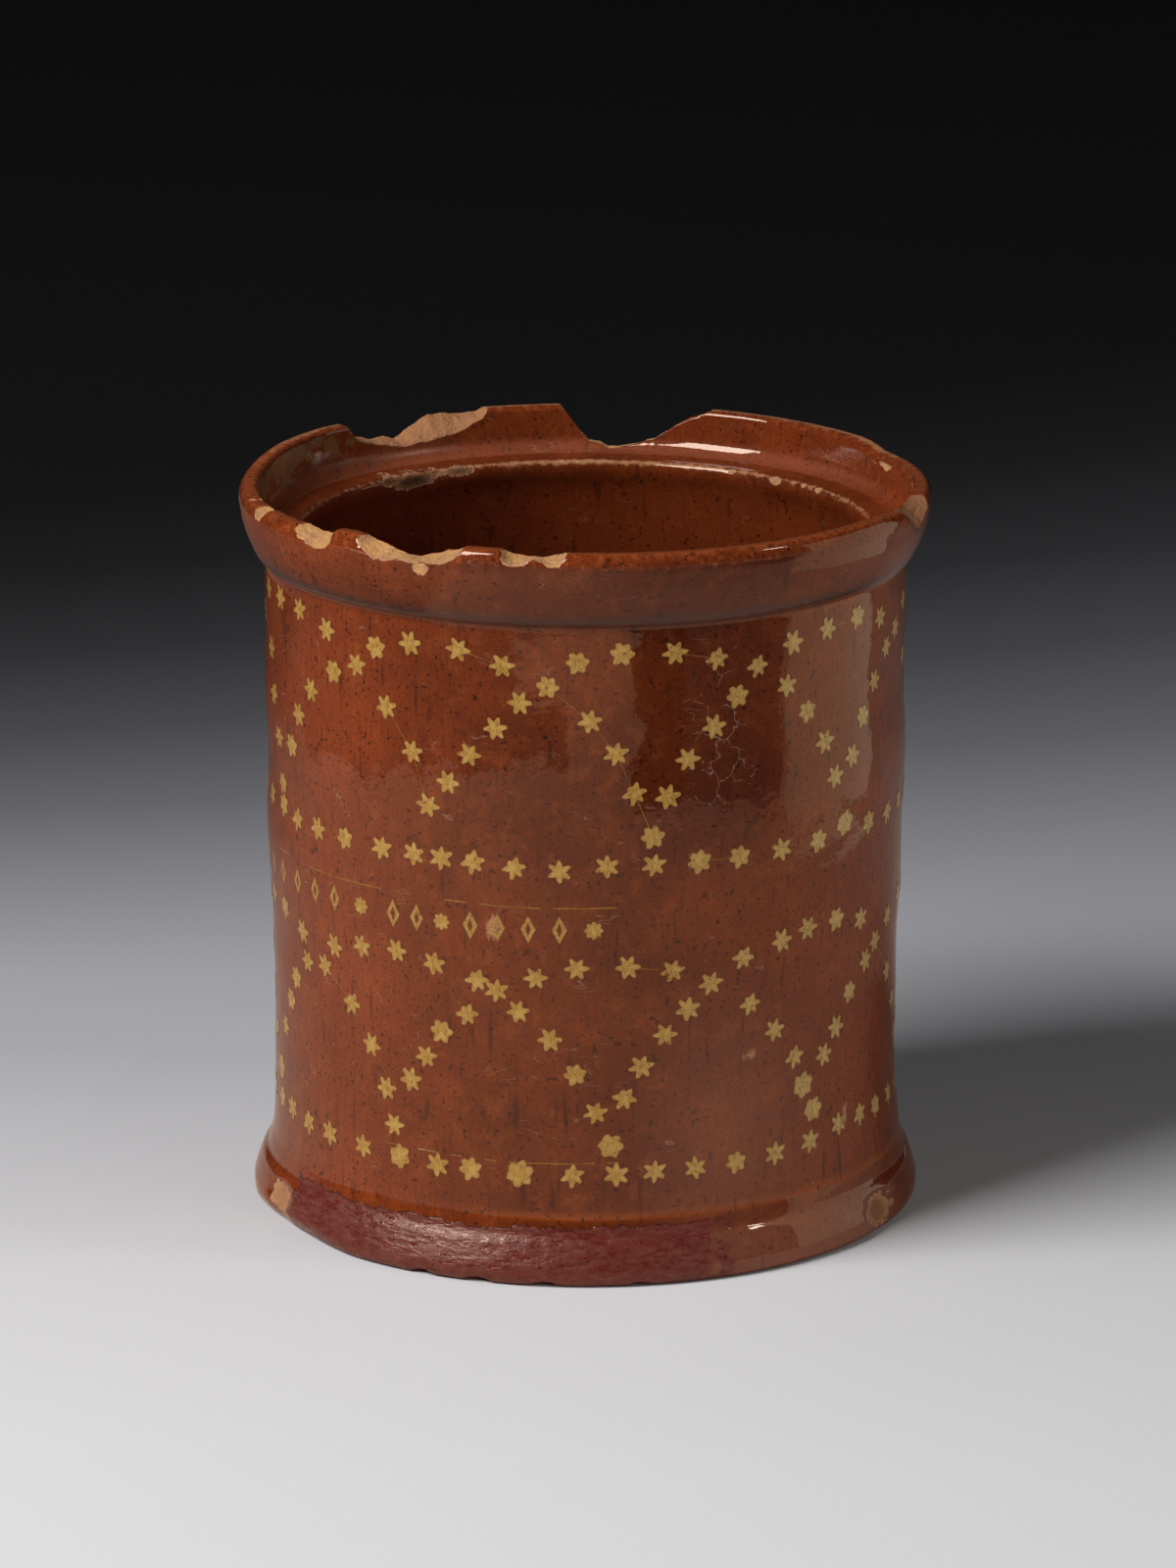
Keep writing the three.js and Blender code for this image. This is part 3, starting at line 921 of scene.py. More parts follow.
FLAKES: tuple[Flake, ...] = (
    Flake(-27.4, 132.0, 1.3, 1.2),
    Flake(-67.5, 4.6, 3.8, 2.6, depth=0.9, stain=1.0),
    Flake(61.5, 4.0, 3.8, 2.9, depth=0.7, stain=1.35),
    Flake(-62, 0.2, 12, 1.9, depth=1.4, bare=0.0),
    Flake(-29, 0.2, 1.4, 0.9, depth=1.3, bare=0.0),
    Flake(-18.6, 0.2, 1.8, 0.9, depth=1.3, bare=0.0),
    Flake(-7, 0.2, 1.6, 0.7, depth=1.2, bare=0.0),
    Flake(9, 0.2, 1.1, 0.6, depth=1.0, bare=0.0),
    Flake(110.5, 133.4, 2.6, 1.1, Side.INSIDE),
    Flake(118, 135.4, 1.4, 0.6, Side.INSIDE),
    Flake(96.5, 134.6, 1.4, 0.5, Side.INSIDE),
    Flake(218.5, 125.5, 5.6, 1.5, Side.INSIDE, stain=1.95),
    Flake(224.5, 126.3, 3.0, 0.9, Side.INSIDE, stain=1.7),
    Flake(212.6, 126.4, 1.9, 0.7, Side.INSIDE, stain=1.4),
    Flake(207, 126.1, 3.4, 0.9, Side.INSIDE, stain=1.7),
    Flake(124, 126.4, 1.1, 0.6, Side.INSIDE, stain=0.6),
    Flake(129, 126.5, 0.7, 0.4, Side.INSIDE, stain=0.5),
    Flake(136.5, 126.2, 1.2, 0.7, Side.INSIDE, stain=0.6),
    Flake(148, 126.6, 0.8, 0.4, Side.INSIDE, stain=0.7),
)


@dataclass
class FiredJar:
    """The fired clay in one closed skin: foot, wall, collar with its broken rim, ledge and bore.

    The wall is a height and a radius at each point. The rim's tops, the glaze's depth with its painted
    shade, and the ledge's wear are a value for each azimuth. A lip is the radius where it starts to fall,
    its width and its fall. A spot is its azimuth, its height, and its half size both ways.
    """

    wall: Pairs = (
        (0, 60.5), (0.25, 61.4), (0.9, 62.05), (3, 62.1), (4, 61.8), (4.8, 61.5), (5.6, 61.3),
        (6.3, 60.95), (7.1, 60.7), (7.9, 60.4), (8.7, 59.5), (10.2, 59.2), (12.5, 58.6), (18.3, 58.15),
        (24, 57.85), (41, 57.85), (52.7, 58.05), (58.4, 58.4), (64, 58.6), (70, 58.8), (75, 58.9),
        (121.5, 58.95), (121.9, 59.15), (122.2, 59.7), (122.6, 60.2), (123.2, 60.65), (124.1, 61.1),
        (125.6, 61.8), (127.1, 62.4), (129.5, 63.1), (131, 63.3), (132.5, 63.55), (133.5, 63.6),
        (136, 63.6),
    )
    rim_tops: Pairs = (
        (-180, -0.1), (-164, -0.1), (-138, 0.3), (-128, 0.6), (-114, 0.4), (-100, -0.6), (-78, -1.2),
        (-71, -1.1), (-66, -0.8), (-58, -0.8), (-52, -0.6), (-45, 0.2), (-42, 0.35), (-38, 0.0),
        (-19, 0.4), (-15, 0.4), (-3, 0.0), (20, -0.2), (55, -0.3), (64, -0.6), (72, -0.9), (88, -1.1),
        (104.7, -1.3), (115.6, -1.5), (122, -0.4), (151, -0.2), (180, -0.1),
    )
    lip_outer: tuple[float, float, float] = (62.2, 1.42, 2.5)
    lip_inner: tuple[float, float, float] = (60.8, 1.0, 1.0)
    lip_steps: int = 15
    rim_height: float = 136.0
    collar_start: float = 121.6
    gallery_radius: float = 58.8
    gallery_flare: float = 1.0
    gallery_fillet: float = 2.2
    ledge_height: float = 127.6
    ledge_fall: float = 0.5
    mouth_radius: float = 52.0
    ledge_edge: float = 1.2
    bore_radius: float = 53.0
    bore_ripple: float = 0.14
    floor_height: float = 8.0
    floor_swell: float = 0.25
    floor_corner: float = 8.0
    # Glaze depth by azimuth, with painted shade darkening the front between the key and fill lights.
    glaze_thickness_and_shade: Pairs = (
        (-180, 0.55), (-110, 0.5), (-75, 0.4), (-60, 0.3), (-48, 0.1), (-36, 0.3), (-20, 0.65),
        (-8, 0.78), (2, 0.75), (12, 0.68), (22, 0.5), (30, 0.38), (45, 0.22), (55, 0.15), (66, 0.25),
        (80, 0.45), (110, 0.5), (180, 0.55),
    )
    # A dark reflection painted on the wall right of the front, high up: its span, heights and strength.
    dark_span: tuple[float, ...] = (4, 12, 32, 40)
    dark_heights: tuple[float, float] = (74, 88)
    dark_reflection_strength: float = 0.45
    crazed_spots: tuple[tuple[float, float, float, float], ...] = (
        (23.5, 112, 3, 3), (24.5, 99, 6, 9),
    )
    chafed_spots: tuple[tuple[float, float, float, float], ...] = (
        (-16.4, 65.8, 1.7, 3.2), (31, 40, 1.6, 0.9), (55, 24, 1.0, 2.5),
    )
    ledge_wear: Pairs = (
        (-180, 0.9), (-166, 0.8), (-150, 0.55), (-120, 0.45), (0, 0.3), (90, 0.45), (110, 0.52),
        (130, 0.58), (150, 0.72), (180, 0.82),
    )
    coarse_step: float = 1.25
    splits: int = 4
    fine_spans: Pairs = ((-79, -1), (62, 82), (150, 180), (-180, -130))
    section_step: float = 0.1
    smoothing: int = 2
    lobe_count: int = 7
    lobe_rises: tuple[float, float] = (0.008, 0.05)
    lobe_depths: tuple[float, float] = (0.03, 0.06)
    lobe_twist: float = 6.0
    steady_foot: float = 14.0
    tear_step: float = 1.1
    tear_depth: float = 0.22
    splinter_depth: float = 0.04
    seed: int = 11

    def __post_init__(self) -> None:
        """Works out the azimuths, the smoothed wall and the seeded unevenness."""
        chance = np.random.default_rng(self.seed)
        self.coarse = np.arange(-180, 180, self.coarse_step)
        fine = []
        for azimuth in self.coarse:
            close = any(low <= azimuth < high for low, high in self.fine_spans)
            count = self.splits if close else 1
            fine += [azimuth + self.coarse_step * k / count for k in range(count)]
        self.fine = np.array(fine)
        self.wall_heights = np.arange(0, self.rim_height + 0.01, self.section_step)
        sharp = np.interp(self.wall_heights, *np.array(self.wall).T)
        reach = 3 * self.smoothing
        kernel = np.exp(-0.5 * (np.arange(-reach, reach + 1) / self.smoothing) ** 2)
        padded = np.pad(sharp, reach, mode="edge")
        self.wall_radii = np.convolve(padded, kernel / kernel.sum(), mode="valid")
        self.lobes = [
            (
                int(chance.integers(1, 6)),
                chance.uniform(*self.lobe_rises),
                chance.uniform(0, 6.28),
                chance.uniform(*self.lobe_depths),
            )
            for _ in range(self.lobe_count)
        ]
        knots = np.arange(-180, 181, self.tear_step)
        deep = self.tear_depth
        self.tears = [
            np.interp(self.fine, knots, chance.uniform(-deep, deep, len(knots))) for _ in range(6)
        ]
        thin = self.splinter_depth
        self.splinters = chance.uniform(-thin, thin, (24, len(self.fine)))

    def outside(self, azimuth: np.ndarray, height: np.ndarray) -> np.ndarray:
        """Gives the wall's radius, with the slight waves that throwing leaves.

        Args:
            azimuth: azimuths in degrees.
            height: a height for each.

        Returns:
            The radii.
        """
        radius = np.interp(height, self.wall_heights, self.wall_radii)
        turn = np.radians(azimuth)
        fade = ramp(height, 0, self.steady_foot)
        for count, rise, phase, depth in self.lobes:
            twist = rise * height * self.lobe_twist
            radius = radius + fade * depth * np.sin(count * turn + twist + phase)
        return radius

    def gallery(self, height: np.ndarray) -> np.ndarray:
        """Gives the radius of the collar's inside at a height."""
        rise = (height - self.ledge_height) / (self.rim_height - 1 - self.ledge_height)
        return self.gallery_radius + self.gallery_flare * rise

    def lip_top(self, radius: np.ndarray, drop: np.ndarray) -> np.ndarray:
        """Gives the height of the unbroken lip.

        Args:
            radius: where across the lip.
            drop: how far the rim stands above its usual height at each azimuth.

        Returns:
            The heights.
        """
        middle_out, across_out, fall_out = self.lip_outer
        middle_in, across_in, fall_in = self.lip_inner
        over = np.clip((radius - middle_out) / across_out, 0, 1)
        under = np.clip((middle_in - radius) / across_in, 0, 1)
        fall = fall_out * (1 - np.sqrt(1 - over**2)) + fall_in * (1 - np.sqrt(1 - under**2))
        return self.rim_height + drop - fall

    def break_heights(self) -> tuple[np.ndarray, np.ndarray]:
        """Gives where the rim is broken.

        Returns:
            The height of the break at each fine azimuth, at the collar's inside and at its outside.
        """
        inner = np.full(len(self.fine), WHOLE)
        outer = inner.copy()
        for stations in RIM_BREAKS:
            places, insides, outsides = np.array(stations).T
            for turn in (0, -360):
                covered = (self.fine >= places[0] + turn) & (self.fine <= places[-1] + turn)
                here = self.fine[covered]
                inner[covered] = np.interp(here, places + turn, insides)
                outer[covered] = np.interp(here, places + turn, outsides)
        return inner, outer

    def thickness_and_shade(self, azimuth: np.ndarray, height: np.ndarray) -> np.ndarray:
        """Gives how deep the glaze ran, with painted shade and a painted dark reflection, from 0 to 1.

        Args:
            azimuth: azimuths in degrees.
            height: a height for each.

        Returns:
            The value; deeper glaze is darker, and so is painted shade.
        """
        around = np.interp(azimuth, *np.array(self.glaze_thickness_and_shade).T)
        return np.clip(around + self.dark_reflection_strength * self.painted_dark_reflection(azimuth, height), 0, 1)

    def painted_dark_reflection(self, azimuth: np.ndarray, height: np.ndarray) -> np.ndarray:
        """Gives the painted dark reflection, right of the front and high up, from 0 to 1."""
        return np.interp(azimuth, self.dark_span, (0, 1, 1, 0)) * ramp(height, *self.dark_heights)

    def scuffed(self, azimuth: np.ndarray, height: float) -> tuple[np.ndarray, np.ndarray]:
        """Gives where the wall is crazed and where it is chafed.

        Args:
            azimuth: azimuths in degrees.
            height: the height of the ring.

        Returns:
            The crazing and the chafing, from 0 to 1.
        """
        crazed, chafed = np.zeros(len(azimuth)), np.zeros(len(azimuth))
        for place, up, half_turn, half_height in self.crazed_spots:
            far = np.hypot((azimuth - place) / half_turn, (height - up) / half_height)
            crazed = np.maximum(crazed, np.clip(1.5 - far, 0, 1))
        for place, up, half_turn, half_height in self.chafed_spots:
            far = np.hypot((azimuth - place) / half_turn, (height - up) / half_height)
            chafed = np.maximum(chafed, np.clip(1.2 - far, 0, 0.8))
        return crazed, chafed

    def flaked(self, ring: Ring, side: Side) -> None:
        """Takes the flakes out of a ring and marks the clay they leave bare.

        Args:
            ring: the ring, whose radius and marks are changed.
            side: the face of the clay that it runs round.
        """
        bare = ring.marks.setdefault("biscuit", np.zeros(len(ring.azimuth)))
        stained = ring.marks.setdefault("stain", np.zeros(len(ring.azimuth)))
        for flake in FLAKES:
            if flake.side is not side:
                continue
            cover = flake.cover(ring.azimuth, ring.height)
            ring.radius = ring.radius + (flake.depth if side is Side.INSIDE else -flake.depth) * cover
            bare[:] = np.maximum(bare, cover * flake.bare)
            stained[:] = np.maximum(stained, cover * flake.stain)

    def outer_rings(self) -> list[Ring]:
        """Makes the rings of the underside, the foot and the wall.

        Returns:
            The rings, from the middle of the underside to the root of the collar.
        """
        azimuth = self.coarse
        level = np.zeros(len(azimuth))
        rings = [
            Ring(azimuth, level + radius, level.copy(), {"foot": level + 1})
            for radius in (20, 40, 54, 59.5)
        ]
        foot_heights = np.concatenate([[0, 0.12, 0.3], np.arange(0.6, 12.6, 0.6)])
        wall_heights = np.arange(13.6, self.collar_start - 1.5, 1.9)
        root_heights = self.collar_start - np.array([1.0, 0.5, 0.2, 0])
        for height in np.concatenate([foot_heights, wall_heights, root_heights]):
            heights_here = level + height
            ring = Ring(azimuth, self.outside(azimuth, heights_here), heights_here)
            # The glaze was wiped off the foot up to a wavy line, but for two stretches where it ran on.
            glaze_end = 10.4 + 0.5 * np.sin(np.radians(azimuth * 3))
            bare = np.clip(0.5 + (glaze_end - height) / 1.6, 0, 1)
            front = np.interp(azimuth, (-66, -58, 19, 28), (0, 1, 1, 0))
            rear = ramp(np.abs(azimuth), 120, 140)
            ring.marks["foot"] = bare * np.maximum(front, rear)
            ring.marks["pool"] = peak(height, 12.3, 1.1) * ramp(azimuth, -25, -11)
            # Thick glaze, with painted shade across the front and a painted dark reflection high on its
            # right.
            ring.marks["thick"] = self.thickness_and_shade(azimuth, heights_here)
            # The painted dark reflection also darkens through the inside mark.
            ring.marks["inside"] = 0.5 * self.painted_dark_reflection(azimuth, heights_here)
            # Dust, and a painted sheen of reflected light, on the foot's right and low on the wall there.
            foot_sheen_span = np.interp(azimuth, (15, 23, 58, 68), (0, 1, 1, 0))
            foot_dust_and_sheen = 1.5 * foot_sheen_span * ramp(height, 10.5, 7.5)
            dust_and_sheen_spot = np.clip(1.3 - np.hypot((azimuth - 27) / 17, (height - 26) / 26), 0, 1)
            ring.marks["dusty"] = np.maximum(foot_dust_and_sheen, dust_and_sheen_spot)
            ring.marks["craze"], ring.marks["chafed"] = self.scuffed(azimuth, height)
            self.flaked(ring, Side.OUTSIDE)
            rings.append(ring)
        return rings

    def collar_rings(self) -> list[Ring]:
        """Makes the rings of the collar: up its outside, over the lip or the break, and down inside.

        Returns:
            The rings, from the root of the collar to the ledge.
        """
        inner, outer = self.break_heights()
        drop = np.interp(self.fine, *np.array(self.rim_tops).T)
        torn = (inner < WHOLE - 1) | (outer < WHOLE - 1)
        inner = inner + np.where(torn, self.tears[0], 0)
        outer = outer + np.where(torn, self.tears[1], 0)
        top_outside = np.minimum(self.rim_height - self.lip_outer[2] + drop, outer)
        top_inside = np.minimum(self.rim_height - self.lip_inner[2] + drop, inner)
        outside = self.collar_outside(top_outside)
        lip = self.lip_rings(outside[-1].radius, self.gallery(top_inside), drop, inner, outer, torn)
        return outside + lip + self.gallery_rings(top_inside)

    def collar_outside(self, top: np.ndarray) -> list[Ring]:
        """Makes the rings of the collar's outside.

        Args:
            top: the height where the outside ends, under the lip or at a break.

        Returns:
            The rings, upwards.
        """
        azimuth = self.fine
        rings = []
        lower = (0.02, 0.04, 0.065, 0.1, 0.15, 0.21, 0.28, 0.36, 0.44, 0.52, 0.6)
        for share in np.concatenate([lower, np.linspace(0.66, 1, 9)]):
            height = self.collar_start + (top - self.collar_start) * share
            ring = Ring(azimuth, self.outside(azimuth, height), height)
            ring.marks["worn"] = 0.3 * ramp(top - height, 0.9, 0)
            # Painted shade: the collar is darkened towards its root, where it turns under and the glaze
            # also pooled, and towards the right, away from the key light.
            pooled = ramp(height, 131, 124)
            shaded = np.interp(azimuth, (-60, -25, 0), (0.0, 0.3, 1.0))
            thickness_and_shade = self.thickness_and_shade(azimuth, height) - 0.12 + 0.37 * shaded + 0.2 * pooled
            ring.marks["thick"] = np.clip(thickness_and_shade, 0, 1)
            ring.marks["inside"] = 0.2 * shaded + (0.25 + 0.2 * shaded) * pooled
            # Painted shade and a painted reflection along the collar's lower turn.
            ring.marks["bloom"] = peak(height, 123.3, 1.7)
            ring.marks["dulled"] = np.interp(azimuth, (-150, -90, 18, 36), (0.3, 1, 1, 0))
            self.flaked(ring, Side.OUTSIDE)
            rings.append(ring)
        return rings

    def lip_rings(
        self,
        radius_out: np.ndarray,
        radius_in: np.ndarray,
        drop: np.ndarray,
        inner: np.ndarray,
        outer: np.ndarray,
        torn: np.ndarray,
    ) -> list[Ring]:
        """Makes the rings over the lip, and over the fractured faces where it is broken.

        Args:
            radius_out: where the collar's outside ends at each azimuth.
            radius_in: where its inside starts.
            drop: how far the rim stands above its usual height.
            inner: the height of the break at the collar's inside.
            outer: the height of the break at its outside.
            torn: whether the rim is broken.

        Returns:
            The rings, inwards.
        """
        azimuth = self.fine
        outermost = self.wall[-1][1]
        # Fractures near 72 degrees are darkened as painted shade; those near -147 are stained.
        chip_shaded = np.where(np.abs(azimuth - 72) < 10, 1.35, 0.0)
        stained = np.where(np.abs(azimuth + 147) < 20, 1.0, chip_shaded)
        rings = []
        for k in range(1, self.lip_steps):
            share = (1 - math.cos(math.pi * k / self.lip_steps)) / 2
            middling = math.sin(math.pi * share)
            radius = radius_out + (radius_in - radius_out) * share
            across = ramp(radius, self.gallery_radius, outermost)
            fracture = inner + (outer - inner) * across
            fracture = fracture + middling * (self.tears[2 + k % 4] + self.splinters[k])
            whole = self.lip_top(radius, drop)
            height = np.minimum(whole, fracture)
            ring = Ring(azimuth, radius, height)
            ring.marks["biscuit"] = np.clip(0.35 + (whole - fracture) / 0.5, 0, 1) * torn
            ring.marks["worn"] = np.full(len(azimuth), 0.35 + 0.5 * middling**3)
            ring.marks["chafed"] = 0.65 * middling**2 * ramp(np.abs(azimuth), 80, 120)
            ring.marks["thick"] = np.full(len(azimuth), 0.4)
            ring.marks["stain"] = stained
            rings.append(ring)
        return rings

    def gallery_rings(self, top: np.ndarray) -> list[Ring]:
        """Makes the rings of the collar's inside and of the fillet at its foot.

        Args:
            top: the height where the inside starts.

        Returns:
            The rings, downwards.
        """
        azimuth = self.fine
        # Dust, and a painted sheen of reflected light, low on the back of the gallery.
        behind = 0.9 * ramp(np.abs(azimuth), 100, 130)
        matt_left = np.interp(azimuth, (-165, -155, -110, -80), (0, 1, 1, 0))
        ashen = peak(azimuth, -108, 36)
        wall_foot = np.minimum(self.ledge_height + self.gallery_fillet, top - 0.05)
        rings = []
        for share in np.linspace(0, 1, 9):
            height = top + (wall_foot - top) * share
            ring = Ring(azimuth, self.gallery(height), height)
            # Painted shade inside the collar.
            ring.marks["inside"] = np.full(len(azimuth), 0.2)
            ring.marks["ash"] = ashen * np.maximum(ramp(height, 127, 133), 0.4)
            ring.marks["thick"] = 0.25 + 0.6 * ashen
            ring.marks["dusty"] = behind * ramp(height, 131, 127)
            ring.marks["dulled"] = matt_left * ramp(height, 132, 130)
            self.flaked(ring, Side.INSIDE)
            rings.append(ring)
        for turn in np.radians((22, 45, 68, 90)):
            height = wall_foot - (wall_foot - self.ledge_height) * math.sin(turn)
            radius = self.gallery_radius - self.gallery_fillet * (1 - math.cos(turn)) + 0 * height
            # The fillet takes less painted shade, and the same dust and sheen.
            marks = {"inside": np.full(len(azimuth), 0.1), "dusty": behind, "dulled": matt_left}
            rings.append(Ring(azimuth, radius, height, marks))
        return rings

    def inner_rings(self) -> list[Ring]:
        """Makes the rings of the ledge, its worn edge, the bore and the floor.

        Returns:
            The rings, inwards and down.
        """
        azimuth = self.coarse
        level = np.zeros(len(azimuth))
        turn = np.radians(azimuth)
        edge_height = self.ledge_height - self.ledge_fall
        # Each point of the section is its radius, height, how much painted shade it takes and how worn it
        # is.
        section = [
            (r, self.ledge_height - self.ledge_fall * (58 - r) / 4.8, 0.05, 0.0)
            for r in (56.2, 55.4, 54.6, 53.8)
        ]
        for angle in np.radians((0, 22.5, 45, 67.5, 90)):
            radius = self.mouth_radius + self.ledge_edge * (1 - math.sin(angle))
            height = edge_height - self.ledge_edge * (1 - math.cos(angle))
            wear = 0.95 - 0.75 * abs(math.degrees(angle) - 45) / 45
            section.append((radius, height, 0.3, wear))
        section += [(52.0, 125.3, 0.5, 0.1), (52.05, 124.6, 0.7, 0.0)]
        section += [(52.4, 123.4, 0.85, 0.0), (52.8, 122.2, 1, 0.0)]
        floor_top = self.floor_height + self.floor_corner
        section += [(self.bore_radius, h, 1, 0.0) for h in np.linspace(120, floor_top, 32)]
        for angle in np.radians(np.linspace(0, 90, 7)[1:]):
            radius = self.bore_radius - self.floor_corner * (1 - math.cos(angle))
            section.append((radius, floor_top - self.floor_corner * math.sin(angle), 1, 0.0))
        for radius in (38, 31, 24, 17, 10, 4):
            swell = self.floor_swell * math.cos(radius / 4.5)
            section.append((radius, self.floor_height + swell, 1, 0.0))
        # Less painted shade on the back right, where the key light falls into the bore.
        lit = np.interp(azimuth, (-180, -150, 60, 120, 150, 180), (0.9, 1.05, 1.05, 0.75, 0.8, 0.9))
        rings = []
        for radius, height, painted_shade, wear in section:
            ripple = self.bore_ripple * np.sin(height * 0.9 + turn) if 20 < height < 120 else 0.0
            ring = Ring(azimuth, level + radius + ripple, level + height)
            rubbed = wear * np.interp(azimuth, *np.array(self.ledge_wear).T)
            ring.marks = {"inside": painted_shade * lit, "chafed": rubbed, "biscuit": 0.42 * rubbed}
            ring.marks["thick"] = level + 0.5
            if height > 123:
                self.flaked(ring, Side.INSIDE)
            rings.append(ring)
        return rings

    def build(self) -> bpy.types.Object:
        """Builds the jar.

        Returns:
            The jar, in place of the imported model's body.
        """
        rings = self.outer_rings() + self.collar_rings() + self.inner_rings()
        count = 1
        for ring in rings:
            ring.start = count
            count += len(ring.azimuth)
        floor_middle = (0, 0, (self.floor_height + self.floor_swell) * MM)
        points = np.concatenate([[(0, 0, 0)], *[ring.points() for ring in rings], [floor_middle]])
        marks = {}
        for name in MARKS:
            around = [ring.marks.get(name, 0 * ring.azimuth) for ring in rings]
            marks[name] = np.concatenate([[0.0], *around, [0.0]])
        marks["foot"][0] = 1.0
        # The floor's middle takes full painted shade.
        marks["inside"][-1] = 1.0
        first, last = rings[0].numbers(), rings[-1].numbers()
        faces: list[tuple[int, ...]] = [(0, b, a) for a, b in zip(first[:-1], first[1:])]
        for lower, upper in zip(rings, rings[1:]):
            faces += bridge(lower, upper)
        faces += [(a, b, count) for a, b in zip(last[:-1], last[1:])]
        mesh = new_mesh("fired_jar", points, faces, marks)
        mesh.shade_smooth()
        mesh.materials.append(GlazedRedware().material())
        jar = new_object("fired_jar", mesh)
        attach(jar, "root")
        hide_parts("jar_body")
        log.info("fired_jar: %d points, %d faces", len(points), len(faces))
        return jar


# The inlays

# A star is its azimuth and its height in percent of the decorated wall. A string runs leftwards over
# the arch, down the left arm to the apex and up the right arm.
UPPER_FRONT_BAYS: tuple[tuple[Star, ...], ...] = (
    (
        (-52, 95.7), (-61, 97.4), (-69.5, 97.6), (-78, 97.4), (-85.5, 92),
        (-76.5, 87.6), (-74, 80.4), (-71, 73.6), (-70, 65.9),
        (-64.5, 73.6), (-61.5, 79.5), (-57, 84.6), (-50, 89),
    ),
    (
        (-14.5, 94.4), (-22.5, 96.5), (-32, 96.5), (-39.4, 94.8), (-44, 91.2),
        (-37, 85.3), (-31.5, 78.6), (-28.5, 70),
        (-24.5, 74.3), (-20.5, 79.3), (-15.7, 84), (-11.4, 88.4),
    ),
    (
        (23.3, 95), (15.6, 96.5), (6.4, 96.7), (-1.3, 95.3), (-6.5, 91.2),
        (0.8, 85.6), (5.3, 80.2), (8.5, 73.6), (11.8, 66.1),
        (14.4, 72.7), (18, 78.7), (22.9, 83.7), (27.4, 88.3),
    ),
    (
        (64.5, 95.3), (56, 97.1), (47.3, 96.7), (38.9, 95.7), (31.3, 92.9),
        (37.7, 88.7), (42.5, 83.7), (46.8, 77.9), (49.6, 71.5),
        (54.6, 74), (58.4, 79.9), (62.8, 84.9), (67.8, 89.6),
    ),
)
LOWER_FRONT_BAYS: tuple[tuple[Star, ...], ...] = (
    (
        (-62.3, 42.2), (-70.5, 44.4), (-78.5, 45), (-87, 44), (-96, 39.8),
        (-90, 34), (-85, 27), (-80.5, 21), (-76, 15.2),
        (-72.7, 23.3), (-69, 28.8), (-66, 33.3), (-61, 37.4),
    ),
    (
        (-19.5, 41.4), (-27.7, 43.3), (-35.5, 44.4), (-43.7, 43.7), (-51.3, 42.2), (-54.7, 38.1),
        (-47, 33.3), (-42, 27.1), (-38.4, 20.3), (-36.6, 14.4),
        (-33, 22.7), (-29.7, 27.1), (-26.5, 31.8), (-21.5, 35.4), (-15.9, 39.9),
    ),
    (
        (15.5, 43.3), (7.5, 44.3), (-1.5, 44.2), (-8.8, 42.4), (-12, 36.5),
        (-6.3, 31.9), (-1.8, 26.1), (1.8, 19.6), (4.5, 13.9),
        (7, 22), (10, 27.2), (14.3, 32.4), (18.5, 36.5),
    ),
    (
        (59, 45.2), (51, 46.9), (43.3, 46.9), (37.2, 45.8), (29, 44.2), (22.7, 40.5),
        (30.7, 36), (36.2, 30.6), (41, 25.2), (43.1, 19.9), (45.6, 15.3),
        (48.7, 24), (52, 28.1), (56, 33.3), (61.7, 37.4),
    ),
)
UPPER_REGULAR_BAY: tuple[Star, ...] = (
    (12, 94.9), (4, 96.5), (-5, 96.6), (-13, 95.1), (-19.5, 91.8),
    (-11.5, 85.5), (-6.6, 79.8), (-3, 73.3), (0, 66),
    (3, 73.3), (6.4, 79.2), (10.8, 84.3), (15, 88.3),
)
LOWER_REGULAR_BAY: tuple[Star, ...] = (
    (11.5, 43), (3.5, 44.5), (-5, 44.5), (-13, 42.6), (-19.2, 39.8),
    (-11.8, 32.8), (-6.8, 26.5), (-3, 20), (0, 13.8),
    (2.8, 20.8), (5.8, 27), (10, 32.6), (14.6, 36.8),
)
UPPER_REGULAR_APEXES = (92.1, 131.7, 171.3, 210.8, 250.4)
LOWER_REGULAR_APEXES = (84.9, 124.3, 163.8, 203.2, 242.6)
UPPER_FRONT_ROW: tuple[Star, ...] = (
    (-69.5, 62.3), (-63, 61.4), (-55.5, 61.4), (-47.5, 61.4), (-38.5, 61.4), (-31.5, 61.4), (-26, 61.4),
    (-20, 61.4), (-12.5, 60.9), (-4.5, 60.5), (3.8, 61.4), (12, 61.4), (20.3, 61.4), (28, 61.4),
    (36.7, 61.4), (45.5, 61.4), (52.8, 63), (61, 61.4), (69.5, 61.2),
)
LOWER_FRONT_ROW: tuple[Star, ...] = (
    (-75, 10.2), (-68.5, 10), (-61, 9.5), (-53.5, 9.4), (-44, 9.3), (-35.3, 9.2), (-27.3, 9), (-20.8, 9.1),
    (-11.7, 9), (-2.3, 9), (5.5, 9.1), (12.4, 9.3), (20, 9.3), (28, 9.3), (36.3, 9.5), (44.7, 10),
    (52.8, 11.2), (60, 11.2), (67, 10.8),
)
BACK_ROW_STARS = 26
BAND_ROSETTES = (-43.5, -26.0, 1.5)
BAND_LOZENGES = (
    -109, -102.5, -96, -89.5, -83, -76.5, -70, -63, -56.5, -50.5, -36, -31, -20.5, -15.5, -10, -4.5,
)


class Stamp(Enum):
    """The shapes that are pressed into the wall, in the order of their names."""

    STAR_A_CRISP = 0
    STAR_B_LONG = 1
    STAR_C_SHORT_ARM = 2
    STAR_D_SOFT = 3
    STAR_E_FLOODED = 4
    TYPE_F_ROSETTE = 5
    TYPE_G_LOZENGE = 6


